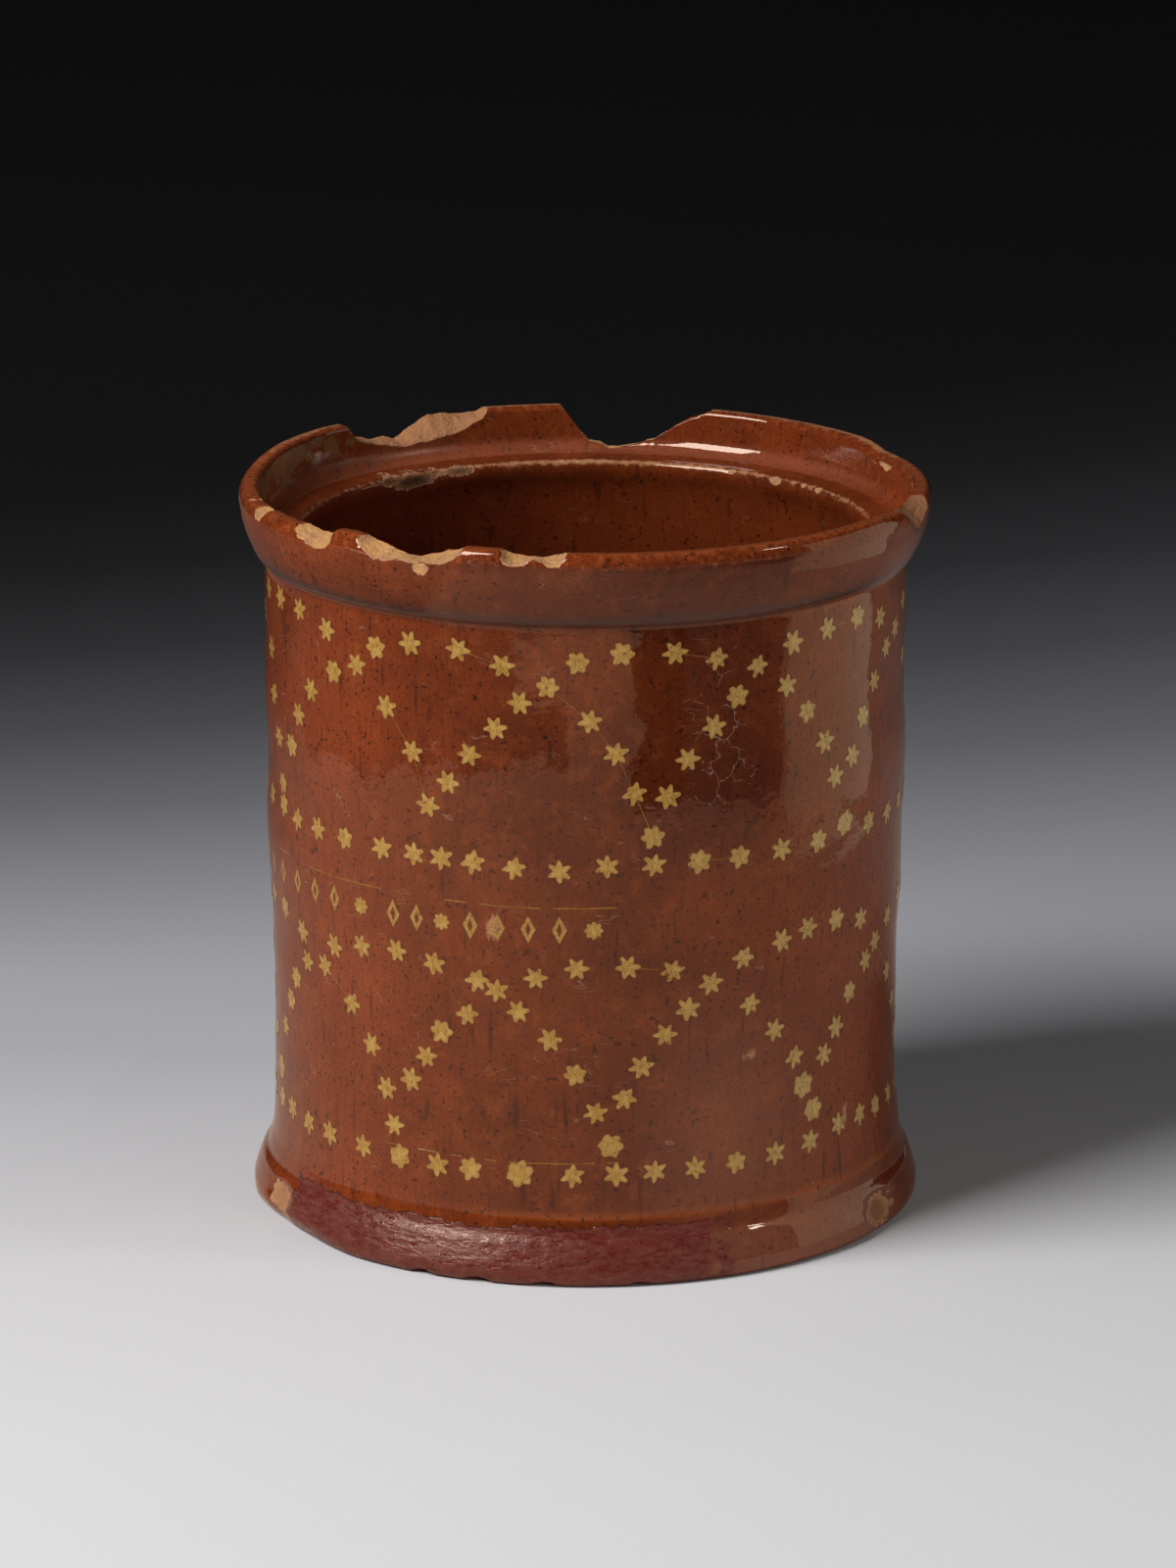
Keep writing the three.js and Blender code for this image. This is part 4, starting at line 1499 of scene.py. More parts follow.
@dataclass(frozen=True)
class StarShape:
    """A six-armed star as the stamp and the slip left it: each arm's reach, and the valleys' radius."""

    reaches: tuple[float, ...]
    valley: float
    tip_width: float
    wander: float
    seed: int
    lean: float = 0.09
    spine: float = 0.66
    shoulder: float = -0.14
    point: float = 0.06

    def mesh(self, name: str, inlay: "InlayDepth") -> bpy.types.Mesh:
        """Builds the star.

        Args:
            name: the mesh's name.
            inlay: how high its face stands and how deep it goes.

        Returns:
            The mesh, flat, in metres, with a sharp edge round its face.
        """
        chance = np.random.default_rng(self.seed)
        outline, spines = [], []
        for arm, reach in enumerate(self.reaches):
            heading = 2 * math.pi * arm / len(self.reaches) + chance.uniform(-self.lean, self.lean)
            along = toward(heading)
            aside = np.array((-along[1], along[0]))
            half = self.tip_width / 2 * chance.uniform(0.85, 1.15)
            spines.append(along * reach * self.spine)
            between = toward(heading + math.pi / len(self.reaches))
            valley = self.valley * chance.uniform(0.92, 1.08)
            shoulder = reach + self.shoulder
            outline += [
                along * (shoulder + chance.uniform(-self.wander, self.wander)) - aside * half,
                along * (reach + self.point) + aside * half * chance.uniform(-0.4, 0.4),
                along * (shoulder + chance.uniform(-self.wander, self.wander)) + aside * half,
                between * valley,
            ]
        return inlay.mesh(name, outline, spines)


@dataclass(frozen=True)
class InlayDepth:
    """How an inlay sits in the wall: its face a hair proud under the glaze, its sides in the clay."""

    proud: float = 0.06
    sunk: float = 0.35

    def mesh(
        self, name: str, outline: Sequence[np.ndarray], spines: Sequence[np.ndarray]
    ) -> bpy.types.Mesh:
        """Builds a closed inlay from its outline.

        Args:
            name: the mesh's name.
            outline: the outline's corners, anticlockwise, a valley after the three of each tip.
            spines: a point inside each arm.

        Returns:
            The mesh.
        """
        corners, arms = len(outline), len(spines)
        top = [(x, y, self.proud) for x, y in outline]
        bottom = [(x, y, -self.sunk) for x, y in outline]
        inner = [(x, y, self.proud) for x, y in spines]
        points = np.array(top + bottom + inner + [(0, 0, self.proud)]) * MM
        middle = 2 * corners + arms
        faces: list[tuple[int, ...]] = []
        for arm in range(arms):
            right, tip, left, after = range(4 * arm, 4 * arm + 4)
            before = (4 * arm - 1) % corners
            spine = 2 * corners + arm
            faces += [(middle, before, spine), (before, right, spine), (right, tip, spine)]
            faces += [(tip, left, spine), (left, after, spine), (after, middle, spine)]
        for k in range(corners):
            after = (k + 1) % corners
            faces.append((corners + k, corners + after, after, k))
        faces.append(tuple(reversed(range(corners, 2 * corners))))
        rim = np.concatenate([np.ones(2 * corners), np.zeros(arms + 1)])
        mesh = new_mesh(name, points, faces, {"rim": rim})
        mesh.shade_smooth()
        around = {tuple(sorted((k, (k + 1) % corners))) for k in range(corners)}
        sharp = mesh.attributes.new("sharp_edge", "BOOLEAN", "EDGE")
        for edge in mesh.edges:
            low, high = sorted(edge.vertices)
            upright = low < corners <= high and high - low == corners
            sharp.data[edge.index].value = (low, high) in around or upright
        return mesh


@dataclass(frozen=True)
class RosetteShape:
    """A rosette of blunt petals round a middle: its petals' reach, and the valleys' radius."""

    petals: int = 8
    reach: float = 1.72
    shoulder: float = 1.6
    half_tip: float = 0.3
    spine: float = 1.1
    valley: float = 1.3

    def mesh(self, name: str, inlay: InlayDepth) -> bpy.types.Mesh:
        """Builds the rosette.

        Args:
            name: the mesh's name.
            inlay: how high its face stands and how deep it goes.

        Returns:
            The mesh, flat, in metres.
        """
        outline, spines = [], []
        for petal in range(self.petals):
            heading = 2 * math.pi * petal / self.petals
            along = toward(heading)
            aside = np.array((-along[1], along[0]))
            between = toward(heading + math.pi / self.petals)
            spines.append(along * self.spine)
            outline += [
                along * self.shoulder - aside * self.half_tip,
                along * self.reach,
                along * self.shoulder + aside * self.half_tip,
                between * self.valley,
            ]
        return inlay.mesh(name, outline, spines)


@dataclass(frozen=True)
class LozengeShape:
    """A lozenge as a fine frame of slip round a middle of red clay."""

    half_width: float = 1.4
    half_height: float = 2.6
    waist: tuple[float, float] = (0.62, 1.4)
    middle_share: tuple[float, float] = (0.36, 0.5)
    face_rim: float = 0.8

    def mesh(self, name: str, inlay: InlayDepth) -> bpy.types.Mesh:
        """Builds the lozenge.

        Args:
            name: the mesh's name.
            inlay: how high its face stands and how deep it goes.

        Returns:
            The mesh, flat, in metres.
        """
        in_x, in_y = self.waist
        quarter = [(self.half_width, 0), (in_x, in_y), (0, self.half_height), (-in_x, in_y)]
        outer = np.array(quarter + [(-x, -y) for x, y in quarter])
        inner = outer * self.middle_share
        count = len(outer)
        rings = [(outer, -inlay.sunk), (outer, inlay.proud), (inner, inlay.proud), (inner, -inlay.sunk)]
        points = np.concatenate([np.column_stack([ring, np.full(count, z)]) for ring, z in rings]) * MM
        faces = []
        for level in range(4):
            here, above = level * count, (level + 1) % 4 * count
            for k in range(count):
                after = (k + 1) % count
                faces.append((here + k, here + after, above + after, above + k))
        rim = np.repeat([1.0, self.face_rim, self.face_rim, 1.0], count)
        mesh = new_mesh(name, points, faces, {"rim": rim})
        mesh.shade_flat()
        return mesh


@dataclass(frozen=True)
class StampSet:
    """The stamps, as a collection that the inlays' node tree picks from."""

    inlay: InlayDepth = InlayDepth()

    def build(self) -> bpy.types.Collection:
        """Builds one object for each stamp.

        Returns:
            The collection, whose objects sort in the order of Stamp.
        """
        shapes = {
            Stamp.STAR_A_CRISP: StarShape((2.35, 2.3, 2.4, 2.35, 2.25, 2.35), 1.3, 0.66, 0.1, 1),
            Stamp.STAR_B_LONG: StarShape((2.55, 2.2, 2.35, 2.45, 2.3, 2.25), 1.28, 0.62, 0.12, 2),
            Stamp.STAR_C_SHORT_ARM: StarShape((2.35, 2.2, 1.6, 2.35, 2.4, 2.15), 1.3, 0.68, 0.14, 3),
            Stamp.STAR_D_SOFT: StarShape((2.3, 2.15, 2.25, 2.2, 2.35, 2.15), 1.5, 0.84, 0.16, 4),
            Stamp.STAR_E_FLOODED: StarShape((2.6, 2.5, 2.4, 2.55, 2.45, 2.5), 1.98, 1.05, 0.2, 5),
            Stamp.TYPE_F_ROSETTE: RosetteShape(),
            Stamp.TYPE_G_LOZENGE: LozengeShape(),
        }
        stamps = bpy.data.collections.new("stamps")
        for stamp, shape in shapes.items():
            name = stamp.name.lower()
            stamps.objects.link(bpy.data.objects.new(name, shape.mesh(name, self.inlay)))
        return stamps


@dataclass(frozen=True)
class InlayTree:
    """The node tree that stamps inlays along a string and wraps them onto the wall."""

    wall_radius: float = 58.6
    reach: float = 80.0
    line_width: float = 0.2
    guide_width: float = 0.36
    line_step: float = 1.2
    line_wander: float = 0.12
    line_flatness: float = 0.35
    line_thinness: float = 0.7
    drifts_in_a_metre: float = 900.0
    presses_in_a_metre: float = 260.0
    seed: float = 0.0

    def build(self) -> bpy.types.NodeTree:
        """Builds the tree.

        Returns:
            The tree. Its geometry is a string laid out flat: azimuth times wall radius, then height.
        """
        tree = bpy.data.node_groups.new("stamped_inlays", "GeometryNodeTree")
        panel = tree.interface
        panel.new_socket("Geometry", in_out="INPUT", socket_type="NodeSocketGeometry")
        sizes = {
            "Wall Radius": self.wall_radius * MM,
            "Reach": self.reach * MM,
            "Line Width": self.line_width * MM,
            "Line Step": self.line_step * MM,
            "Line Wander": self.line_wander * MM,
            "Seed": self.seed,
        }
        for name, value in sizes.items():
            socket = panel.new_socket(name, in_out="INPUT", socket_type="NodeSocketFloat")
            socket.default_value = value
        for name, kind in (("Wall", "Object"), ("Stamps", "Collection"), ("Slip", "Material")):
            panel.new_socket(name, in_out="INPUT", socket_type="NodeSocket" + kind)
        panel.new_socket("Geometry", in_out="OUTPUT", socket_type="NodeSocketGeometry")
        given = add_node(tree, "NodeGroupInput").outputs
        joined = add_node(tree, "GeometryNodeJoinGeometry")
        tree.links.new(self.lines(tree, given), joined.inputs[0])
        tree.links.new(self.stamps(tree, given), joined.inputs[0])
        wrapped = self.wrap(tree, given, joined.outputs[0])
        real = add_node(tree, "GeometryNodeRealizeInstances", {0: wrapped})
        finished = add_node(
            tree, "GeometryNodeSetMaterial", {"Geometry": real.outputs[0], "Material": given["Slip"]}
        )
        add_node(tree, "NodeGroupOutput", {0: finished.outputs[0]})
        return tree

    def stamps(self, tree: Tree, given: Any) -> Socket:
        """Puts a stamp at each point of the string, by its attributes stamp, turn and size.

        Args:
            tree: the tree.
            given: the tree's inputs.

        Returns:
            The stamped inlays, flat.
        """
        held = {
            name: add_node(
                tree, "GeometryNodeInputNamedAttribute", {"Name": name}, data_type=kind
            ).outputs["Attribute"]
            for name, kind in (("stamp", "INT"), ("turn", "FLOAT"), ("size", "FLOAT"))
        }
        chosen = add_node(
            tree,
            "GeometryNodeCollectionInfo",
            {"Collection": given["Stamps"], "Separate Children": True, "Reset Children": True},
        )
        turn = add_node(tree, "ShaderNodeCombineXYZ", {"Z": held["turn"]})
        rotation = add_node(tree, "FunctionNodeEulerToRotation", {0: turn.outputs[0]})
        placed = add_node(
            tree,
            "GeometryNodeInstanceOnPoints",
            {
                "Points": given["Geometry"],
                "Instance": chosen.outputs[0],
                "Pick Instance": True,
                "Instance Index": held["stamp"],
                "Rotation": rotation.outputs[0],
                "Scale": held["size"],
            },
        )
        return add_node(tree, "GeometryNodeRealizeInstances", {0: placed.outputs[0]}).outputs[0]

    def lines(self, tree: Tree, given: Any) -> Socket:
        """Draws the scribed hairlines along the string's edges, a little unsteady.

        Args:
            tree: the tree.
            given: the tree's inputs.

        Returns:
            The hairlines, flat.
        """
        path = add_node(tree, "GeometryNodeMeshToCurve", {0: given["Geometry"]}).outputs[0]
        steps = add_node(
            tree,
            "GeometryNodeResampleCurve",
            {"Curve": path, "Length": given["Line Step"]},
            mode="LENGTH",
        )
        place = add_node(tree, "GeometryNodeInputPosition").outputs[0]
        seeded = add_node(
            tree, "ShaderNodeVectorMath", {0: place, 1: given["Seed"]}, operation="ADD"
        ).outputs[0]
        drift = add_node(
            tree,
            "ShaderNodeTexNoise",
            {"Vector": seeded, "Scale": self.drifts_in_a_metre, "Detail": 1.0},
        )
        flat = add_node(
            tree,
            "ShaderNodeVectorMath",
            {0: drift.outputs["Color"], 1: (2, 2, 0), 2: (-1, -1, 0)},
            operation="MULTIPLY_ADD",
        )
        wander = add_node(
            tree,
            "ShaderNodeVectorMath",
            {0: flat.outputs[0], "Scale": given["Line Wander"]},
            operation="SCALE",
        )
        unsteady = add_node(
            tree, "GeometryNodeSetPosition", {"Geometry": steps.outputs[0], "Offset": wander.outputs[0]}
        )
        half = add_node(tree, "ShaderNodeMath", {0: given["Line Width"], 1: 0.5}, operation="MULTIPLY")
        section = add_node(
            tree,
            "GeometryNodeCurvePrimitiveCircle",
            {"Resolution": 6, "Radius": half.outputs[0]},
            mode="RADIUS",
        )
        pressure = add_node(
            tree,
            "ShaderNodeTexNoise",
            {"Vector": seeded, "Scale": self.presses_in_a_metre, "Detail": 2.0},
        ).outputs[0]
        breadth = add_node(
            tree,
            "ShaderNodeMapRange",
            {"Value": pressure, "From Min": 0.35, "From Max": 0.65, "To Min": 0.3, "To Max": 1.2},
        )
        drawn = add_node(
            tree,
            "GeometryNodeCurveToMesh",
            {
                "Curve": unsteady.outputs[0],
                "Profile Curve": section.outputs[0],
                "Scale": breadth.outputs[0],
                "Fill Caps": True,
            },
        )
        low = add_node(
            tree,
            "ShaderNodeVectorMath",
            {0: place, 1: (1, 1, self.line_flatness)},
            operation="MULTIPLY",
        )
        pressed = add_node(
            tree, "GeometryNodeSetPosition", {"Geometry": drawn.outputs[0], "Position": low.outputs[0]}
        )
        return add_node(
            tree,
            "GeometryNodeStoreNamedAttribute",
            {"Geometry": pressed.outputs[0], "Name": "thin", "Value": self.line_thinness},
            data_type="FLOAT",
            domain="POINT",
        ).outputs[0]

    def wrap(self, tree: Tree, given: Any, flat: Socket) -> Socket:
        """Bends flat geometry round the jar and drops it onto the wall.

        Args:
            tree: the tree.
            given: the tree's inputs.
            flat: the geometry, whose x is a length round the wall, y a height and z a depth.

        Returns:
            The geometry on the wall.
        """
        place = add_node(tree, "GeometryNodeInputPosition").outputs[0]
        across, height, depth = add_node(tree, "ShaderNodeSeparateXYZ", {0: place}).outputs
        turn = add_node(
            tree, "ShaderNodeMath", {0: across, 1: given["Wall Radius"]}, operation="DIVIDE"
        ).outputs[0]
        sine = add_node(tree, "ShaderNodeMath", {0: turn}, operation="SINE").outputs[0]
        cosine = add_node(tree, "ShaderNodeMath", {0: turn}, operation="COSINE").outputs[0]
        forward = add_node(
            tree, "ShaderNodeMath", {0: cosine, 1: -1.0}, operation="MULTIPLY"
        ).outputs[0]
        out = add_node(tree, "ShaderNodeCombineXYZ", {"X": sine, "Y": forward}).outputs[0]
        level = add_node(tree, "ShaderNodeCombineXYZ", {"Z": height}).outputs[0]
        inwards, away, proud = [
            add_node(
                tree, "ShaderNodeVectorMath", {0: out, "Scale": length}, operation="SCALE"
            ).outputs[0]
            for length in (-1.0, given["Reach"], depth)
        ]
        source = add_node(tree, "ShaderNodeVectorMath", {0: away, 1: level}, operation="ADD").outputs[0]
        wall = add_node(tree, "GeometryNodeObjectInfo", {"Object": given["Wall"]})
        cast = add_node(
            tree,
            "GeometryNodeRaycast",
            {
                "Target Geometry": wall.outputs["Geometry"],
                "Source Position": source,
                "Ray Direction": inwards,
                "Ray Length": given["Reach"],
            },
        )
        seated = add_node(
            tree, "ShaderNodeVectorMath", {0: cast.outputs["Hit Position"], 1: proud}, operation="ADD"
        ).outputs[0]
        return add_node(tree, "GeometryNodeSetPosition", {"Geometry": flat, "Position": seated}).outputs[0]


@dataclass
class InlayString:
    """Inlays in a row, with the hairlines between them that are still seen."""

    node: str
    stars: Sequence[Star]
    line_share: float = 0.3
    seed: int = 0
    usual_turn: float = 7.0
    turn_spread: float = 7.0
    stamp: Stamp | None = None
    foot_height: float = 10.2
    collar_root: float = 120.7
    shape_shares: tuple[float, ...] = (0.45, 0.25, 0.12, 0.18)
    sizes: tuple[float, float] = (0.94, 1.04)

    def height(self, percent: float) -> float:
        """Turns a share of the decorated wall into a height."""
        return self.foot_height + (self.collar_root - self.foot_height) * percent / 100

    def layout(self, wall_radius: float) -> bpy.types.Mesh:
        """Lays the string out flat.

        Args:
            wall_radius: the wall's radius, which turns azimuths into lengths.

        Returns:
            A mesh of points and edges, with each point's stamp, turn and size.
        """
        chance = np.random.default_rng(self.seed)
        flat = [(math.radians(a) * wall_radius, self.height(h), 0) for a, h in self.stars]
        count = len(flat)
        seen = SEEN_LINES.get(self.node, ())
        kept = [
            (i, i + 1) for i in range(count - 1) if chance.uniform() < self.line_share or i in seen
        ]
        usual = [Stamp.STAR_A_CRISP, Stamp.STAR_B_LONG, Stamp.STAR_C_SHORT_ARM, Stamp.STAR_D_SOFT]
        picked = chance.choice(len(usual), count, p=self.shape_shares)
        if self.stamp is None:
            stamps = [ODD_STARS.get(star, usual[k]) for star, k in zip(self.stars, picked)]
            turns = np.radians(chance.normal(self.usual_turn, self.turn_spread, count))
        else:
            stamps = [self.stamp] * count
            turns = np.zeros(count)
        sizes = chance.uniform(*self.sizes, count)
        mesh = new_mesh(self.node, np.array(flat) * MM, [], {"turn": turns, "size": sizes}, kept)
        numbers = mesh.attributes.new("stamp", "INT", "POINT")
        numbers.data.foreach_set("value", [stamp.value for stamp in stamps])
        return mesh


# Stars of the front whose shape isn't left to chance.
FLOODED: tuple[Star, ...] = (
    (-35.3, 9.2), (-11.7, 9), (4.5, 13.9), (43.1, 19.9), (45.6, 15.3), (52.8, 63), (-76, 15.2),
)
ODD_STARS: dict[Star, Stamp] = dict.fromkeys(FLOODED, Stamp.STAR_E_FLOODED) | {
    (31.3, 92.9): Stamp.STAR_C_SHORT_ARM,
    (27.4, 88.3): Stamp.STAR_D_SOFT,
}
# Hairlines that show on the front, by the number of the star that each one starts from.
SEEN_LINES: dict[str, tuple[int, ...]] = {
    "upper_bay_2": (0, 5, 6),
    "upper_bay_3": (0, 4, 5, 6, 7),
    "upper_bay_4": (0, 1),
    "lower_bay_2": (5,),
    "lower_bay_3": (0,),
}


@dataclass(frozen=True)
class GuideLine:
    """A scribed guide line, filled with slip and worn away in places."""

    name: str
    height: float
    start: float
    end: float
    seed: int
    step: float = 2.2
    wave: float = 0.12
    kept_share: float = 0.72

    def layout(self, wall_radius: float) -> bpy.types.Mesh:
        """Lays the line out flat.

        Args:
            wall_radius: the wall's radius, which turns azimuths into lengths.

        Returns:
            A mesh of points, with an edge wherever the line is left.
        """
        chance = np.random.default_rng(self.seed)
        azimuth = np.arange(self.start, self.end, self.step)
        height = self.height + self.wave * np.sin(azimuth / 7)
        flat = np.stack([np.radians(azimuth) * wall_radius, height, 0 * azimuth], 1)
        kept = [(i, i + 1) for i in range(len(flat) - 1) if chance.uniform() < self.kept_share]
        return new_mesh(self.name, flat * MM, [], None, kept)


@dataclass(frozen=True)
class Decoration:
    """All the slip on the wall: two registers of bays and rows, the band between, and guide lines."""

    tree: InlayTree = InlayTree()
    band_height: float = 66.2
    back_line_share: float = 0.22
    row_line_share: float = 0.05
    row_turn: float = 24.0
    guides: tuple[GuideLine, ...] = (
        GuideLine("guide_line_upper", 70.3, -76.0, 6.0, seed=61),
        GuideLine("guide_line_lower", 22.3, -38.0, 10.0, seed=62),
    )

    def closed_row(self, front: Sequence[Star]) -> list[Star]:
        """Carries a row on round the back in even steps.

        Args:
            front: the row's stars in view.

        Returns:
            All the row's stars.
        """
        (start, low), (end, high) = front[-1], front[0]
        steps = [(k + 1) / (BACK_ROW_STARS + 1) for k in range(BACK_ROW_STARS)]
        back = [(start + (end + 360 - start) * s, low + (high - low) * s) for s in steps]
        return [*front, *back]

    def register(
        self,
        name: str,
        front: Sequence[Sequence[Star]],
        regular: Sequence[Star],
        apexes: Sequence[float],
        row: Sequence[Star],
        seed: int,
    ) -> list[InlayString]:
        """Lists the strings of one register.

        Args:
            name: the register's name.
            front: the bays in view.
            regular: the bay that is repeated round the back, with its apex at azimuth 0.
            apexes: the azimuths of the apexes round the back.
            row: the stars in view of the row below.
            seed: the first string's seed.

        Returns:
            The strings, the row last.
        """
        turned = [[(azimuth + apex, percent) for azimuth, percent in regular] for apex in apexes]
        strings = []
        for i, bay in enumerate([*front, *turned]):
            line_share = 0.0 if i < len(front) else self.back_line_share
            strings.append(InlayString(f"{name}_bay_{i + 1}", bay, line_share, seed + i))
        whole_row = self.closed_row(row)
        strings.append(
            InlayString(f"{name}_row", whole_row, self.row_line_share, seed + 40, self.row_turn)
        )
        return strings

    def strings(self) -> list[InlayString]:
        """Lists every string.

        Returns:
            The strings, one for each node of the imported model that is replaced.
        """
        made = self.register(
            "upper", UPPER_FRONT_BAYS, UPPER_REGULAR_BAY, UPPER_REGULAR_APEXES, UPPER_FRONT_ROW, 100
        )
        made += self.register(
            "lower", LOWER_FRONT_BAYS, LOWER_REGULAR_BAY, LOWER_REGULAR_APEXES, LOWER_FRONT_ROW, 200
        )
        level = made[0]
        percent = 100 * (self.band_height - level.foot_height) / (level.collar_root - level.foot_height)
        for name, azimuths, seed, stamp in (
            ("band_rosette", BAND_ROSETTES, 300, Stamp.TYPE_F_ROSETTE),
            ("band_lozenge", BAND_LOZENGES, 320, Stamp.TYPE_G_LOZENGE),
        ):
            for i, azimuth in enumerate(azimuths):
                place = [(azimuth, percent)]
                made.append(InlayString(f"{name}_{i + 1}", place, 0, seed + i, stamp=stamp))
        return made

    def stamped(
        self, name: str, layout: bpy.types.Mesh, inputs: dict[str, Any], tree: Tree
    ) -> bpy.types.Object:
        """Runs the node tree on a layout.

        Args:
            name: the finished piece's name.
            layout: the string, laid out flat.
            inputs: the tree's inputs by name.
            tree: the tree.

        Returns:
            The piece as a plain mesh.
        """
        source = new_object(name + "_layout", layout)
        modifier = source.modifiers.new("stamped", "NODES")
        modifier.node_group = tree
        for socket in tree.interface.items_tree:
            if socket.in_out == "INPUT" and socket.name in inputs:
                modifier[socket.identifier] = inputs[socket.name]
        evaluated = source.evaluated_get(bpy.context.evaluated_depsgraph_get())
        mesh = bpy.data.meshes.new_from_object(evaluated)
        source.modifiers.clear()
        bpy.data.objects.remove(source)
        piece = new_object(name, mesh)
        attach(piece, "root")
        return piece

    def build(self, jar: bpy.types.Object) -> None:
        """Stamps all the inlays into the jar's wall.

        Args:
            jar: the fired jar, which the inlays are dropped onto.
        """
        tree = self.tree.build()
        stamps = StampSet().build()
        bpy.context.scene.collection.children.link(stamps)
        inputs = {"Wall": jar, "Stamps": stamps, "Slip": GlazedSlip().material()}
        radius = self.tree.wall_radius
        for string in self.strings():
            piece = self.stamped(string.node + "_slip", string.layout(radius), inputs, tree)
            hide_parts(string.node)
            log.info("%s: %d faces", piece.name, len(piece.data.polygons))
        inputs["Line Width"] = self.tree.guide_width * MM
        for guide in self.guides:
            self.stamped(guide.name, guide.layout(radius), inputs, tree)
        for stamp in list(stamps.objects):
            bpy.data.objects.remove(stamp)
        bpy.data.collections.remove(stamps)


# The studio


@dataclass(frozen=True)
class SoftBox:
    """A soft box that faces the jar."""

    name: str
    azimuth: float
    elevation: float
    distance: float
    width: float
    depth: float
    watts: float
    aim: float = 60.0
    mirrored: bool = True
    tint: str = "#ffffff"

    def build(self) -> None:
        """Hangs the light, pointed at the jar's middle."""
        light = bpy.data.lights.new(self.name, "AREA")
        light.shape = "RECTANGLE"
        light.size = self.width * MM
        light.size_y = self.depth * MM
        light.energy = self.watts
        light.color = linear(self.tint)[:3]
        turn, rise = math.radians(self.azimuth), math.radians(self.elevation)
        lamp = new_object(self.name, light)
        far = self.distance * MM
        lamp.location = (
            far * math.sin(turn) * math.cos(rise),
            -far * math.cos(turn) * math.cos(rise),
            self.aim * MM + far * math.sin(rise),
        )
        lamp.rotation_euler = (math.pi / 2 - rise, 0, turn)
        lamp.visible_camera = False
        lamp.visible_glossy = self.mirrored


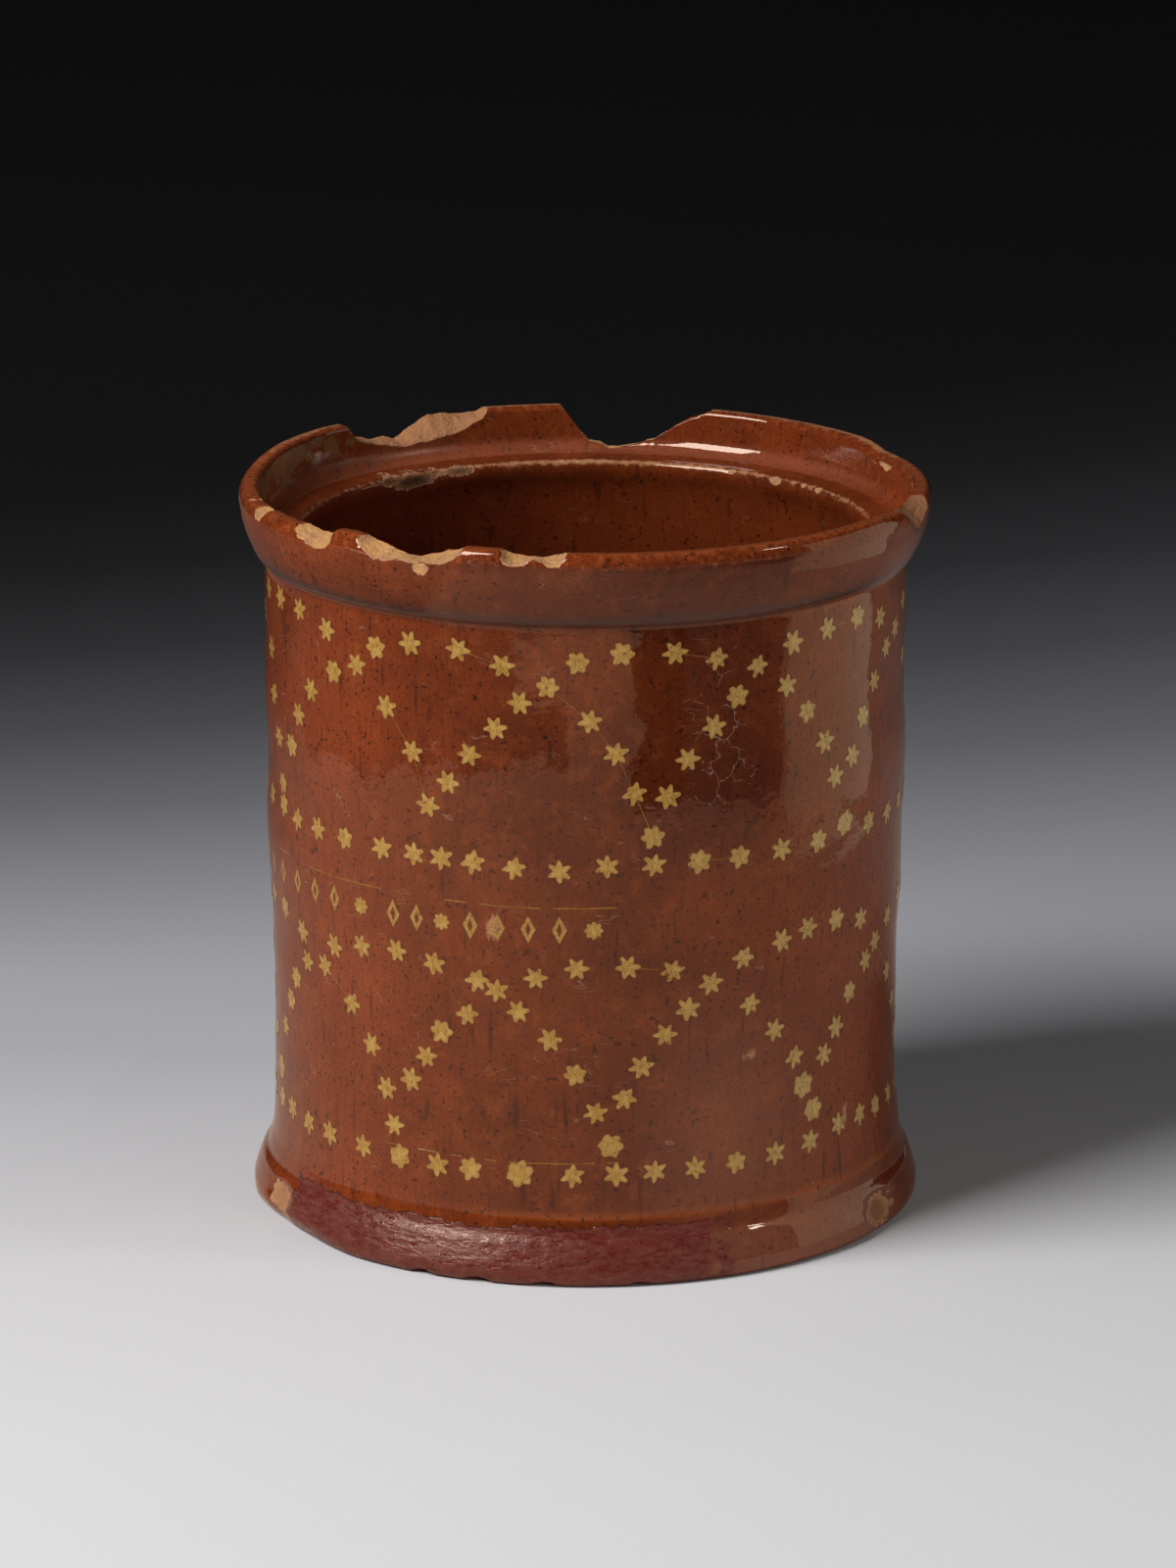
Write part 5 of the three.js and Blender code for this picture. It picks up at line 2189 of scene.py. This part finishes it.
@dataclass
class Studio:
    """The camera, the table, the boards and the lights."""

    lens: float = 172.2
    camera_place: tuple[float, float, float] = (0.487, -1341.68, 442.96)
    camera_pitch: float = 15.244
    boards: tuple[tuple[str, str, Pairs], ...] = (
        (
            "board_front",
            "#363636",
            (
                (84, -336), (96, -318), (122, -322), (140, -300), (172, -288), (206, -318), (220, -346),
                (272, -404), (400, -600), (262, -680), (186, -520), (120, -440),
            ),
        ),
        (
            "board_right",
            "#6a6a6a",
            (
                (172, -288), (196, -280), (214, -254), (270, -206), (280, -170), (306, -130),
                (620, -195), (480, -560), (400, -600), (272, -404), (220, -346), (206, -318),
            ),
        ),
        (
            "board_left",
            "#646464",
            (
                (-52, -500), (-60, -760), (-480, -820), (-900, -300), (-900, 200), (-560, 330), (-324, 128),
                (-352, 60), (-372, -5), (-326, -70), (-350, -150), (-296, -200), (-300, -262), (-232, -284),
                (-226, -344), (-182, -362), (-186, -424), (-140, -440), (-146, -474), (-98, -484),
            ),
        ),
    )
    sheet_height: float = 0.3
    card: Pairs = ((288, -106), (296, 8), (284, 124))
    card_height: float = 260.0
    # A grey sheet under the collar, seen only in reflections: it paints a darker reflection on its lower
    # turn.
    flag_tone: str = "#6e6a66"
    flag_turn: tuple[float, float] = (-140, -30)
    flag_radii: tuple[float, float] = (61.0, 105.0)
    flag_height: float = 118.5
    paper: Pairs = (
        (-3000, -2500), (3000, -2500), (3000, 4000), (-3000, 4000),
    )
    paper_height: float = -0.05
    lights: tuple[SoftBox, ...] = (
        SoftBox("key_soft_box", -57, 43, 1600, 800, 700, 28.5),
        SoftBox("fill_soft_box", 42, 12, 1500, 900, 500, 4.4, mirrored=False),
        SoftBox("small_lamp", 73, 38, 1500, 210, 110, 1.35),
    )
    world_tone: float = 0.014
    backdrop: str = "#101010"

    def camera(self) -> None:
        """Sets the camera at the photograph's viewing angle."""
        camera = bpy.data.cameras.new("photograph")
        camera.lens = self.lens
        camera.sensor_width = 36.0
        camera.clip_start = 0.05
        camera.clip_end = 20.0
        held = new_object("photograph", camera)
        held.location = [c * MM for c in self.camera_place]
        held.rotation_euler = (math.radians(90 - self.camera_pitch), 0, 0)
        bpy.context.scene.camera = held

    def sheet(
        self,
        name: str,
        line: Sequence[tuple[float, float]],
        heights: Sequence[float],
        material: bpy.types.Material,
        seen: bool = False,
    ) -> None:
        """Puts a sheet of the set into the scene.

        Args:
            name: the sheet's name.
            line: its outline where it lies flat, or the line it stands on.
            heights: its height where it lies flat, or the heights of its foot and its top.
            material: its material.
            seen: whether a camera sees it, and not only the glaze that mirrors it.
        """
        points = np.array([(x, y, z) for z in heights for x, y in line]) * MM
        count = len(line)
        faces = [tuple(range(count))]
        if len(heights) > 1:
            faces = [(k, k + 1, count + k + 1, count + k) for k in range(count - 1)]
        mesh = new_mesh(name, points, faces)
        mesh.materials.append(material)
        made = new_object(name, mesh)
        made.visible_camera = seen
        made.visible_diffuse = seen
        made.visible_shadow = seen

    def world(self) -> None:
        """Makes the room: a faint grey fill, which the camera sees as black."""
        world = bpy.data.worlds.new("dark_room")
        world.use_nodes = True
        tree = world.node_tree
        tree.nodes.clear()
        path = add_node(tree, "ShaderNodeLightPath").outputs
        faint, dark = [
            add_node(tree, "ShaderNodeBackground", {"Color": colour, "Strength": strength}).outputs[0]
            for colour, strength in ((linear("#ffffff"), self.world_tone), (linear(self.backdrop), 1.0))
        ]
        room = add_node(tree, "ShaderNodeMixShader", {0: path["Is Camera Ray"], 1: faint, 2: dark})
        add_node(tree, "ShaderNodeOutputWorld", {"Surface": room.outputs[0]})
        bpy.context.scene.world = world

    def build(self) -> None:
        """Builds the set and the view."""
        bpy.context.scene.view_settings.view_transform = "Standard"
        self.camera()
        self.sheet("table_paper", self.paper, [self.paper_height], TablePaper().material(), True)
        for name, tone, corners in self.boards:
            self.sheet(name, corners, [self.sheet_height], DarkBoard(tone).material())
        # A grey sheet seen only in reflections, painting a darker reflection on the collar's lower turn.
        first, last = self.flag_turn
        turn = np.radians(np.arange(first, last + 1, 10))
        arc = np.stack([np.sin(turn), -np.cos(turn)], 1)
        flag = np.concatenate([arc * self.flag_radii[0], arc[::-1] * self.flag_radii[1]])
        self.sheet("flag_under_collar", flag, [self.flag_height], DarkBoard(self.flag_tone).material())
        standing = [self.sheet_height, self.card_height]
        self.sheet("card_right", self.card, standing, LitCard().material())
        for light in self.lights:
            light.build()
        self.world()


def main() -> None:
    """Builds the jar, its inlays and the studio."""
    logging.basicConfig(level=logging.INFO, format="%(name)s: %(message)s")
    Studio().build()
    jar = FiredJar().build()
    Decoration().build(jar)
    bpy.context.view_layer.update()


if __name__ == "__main__":
    main()
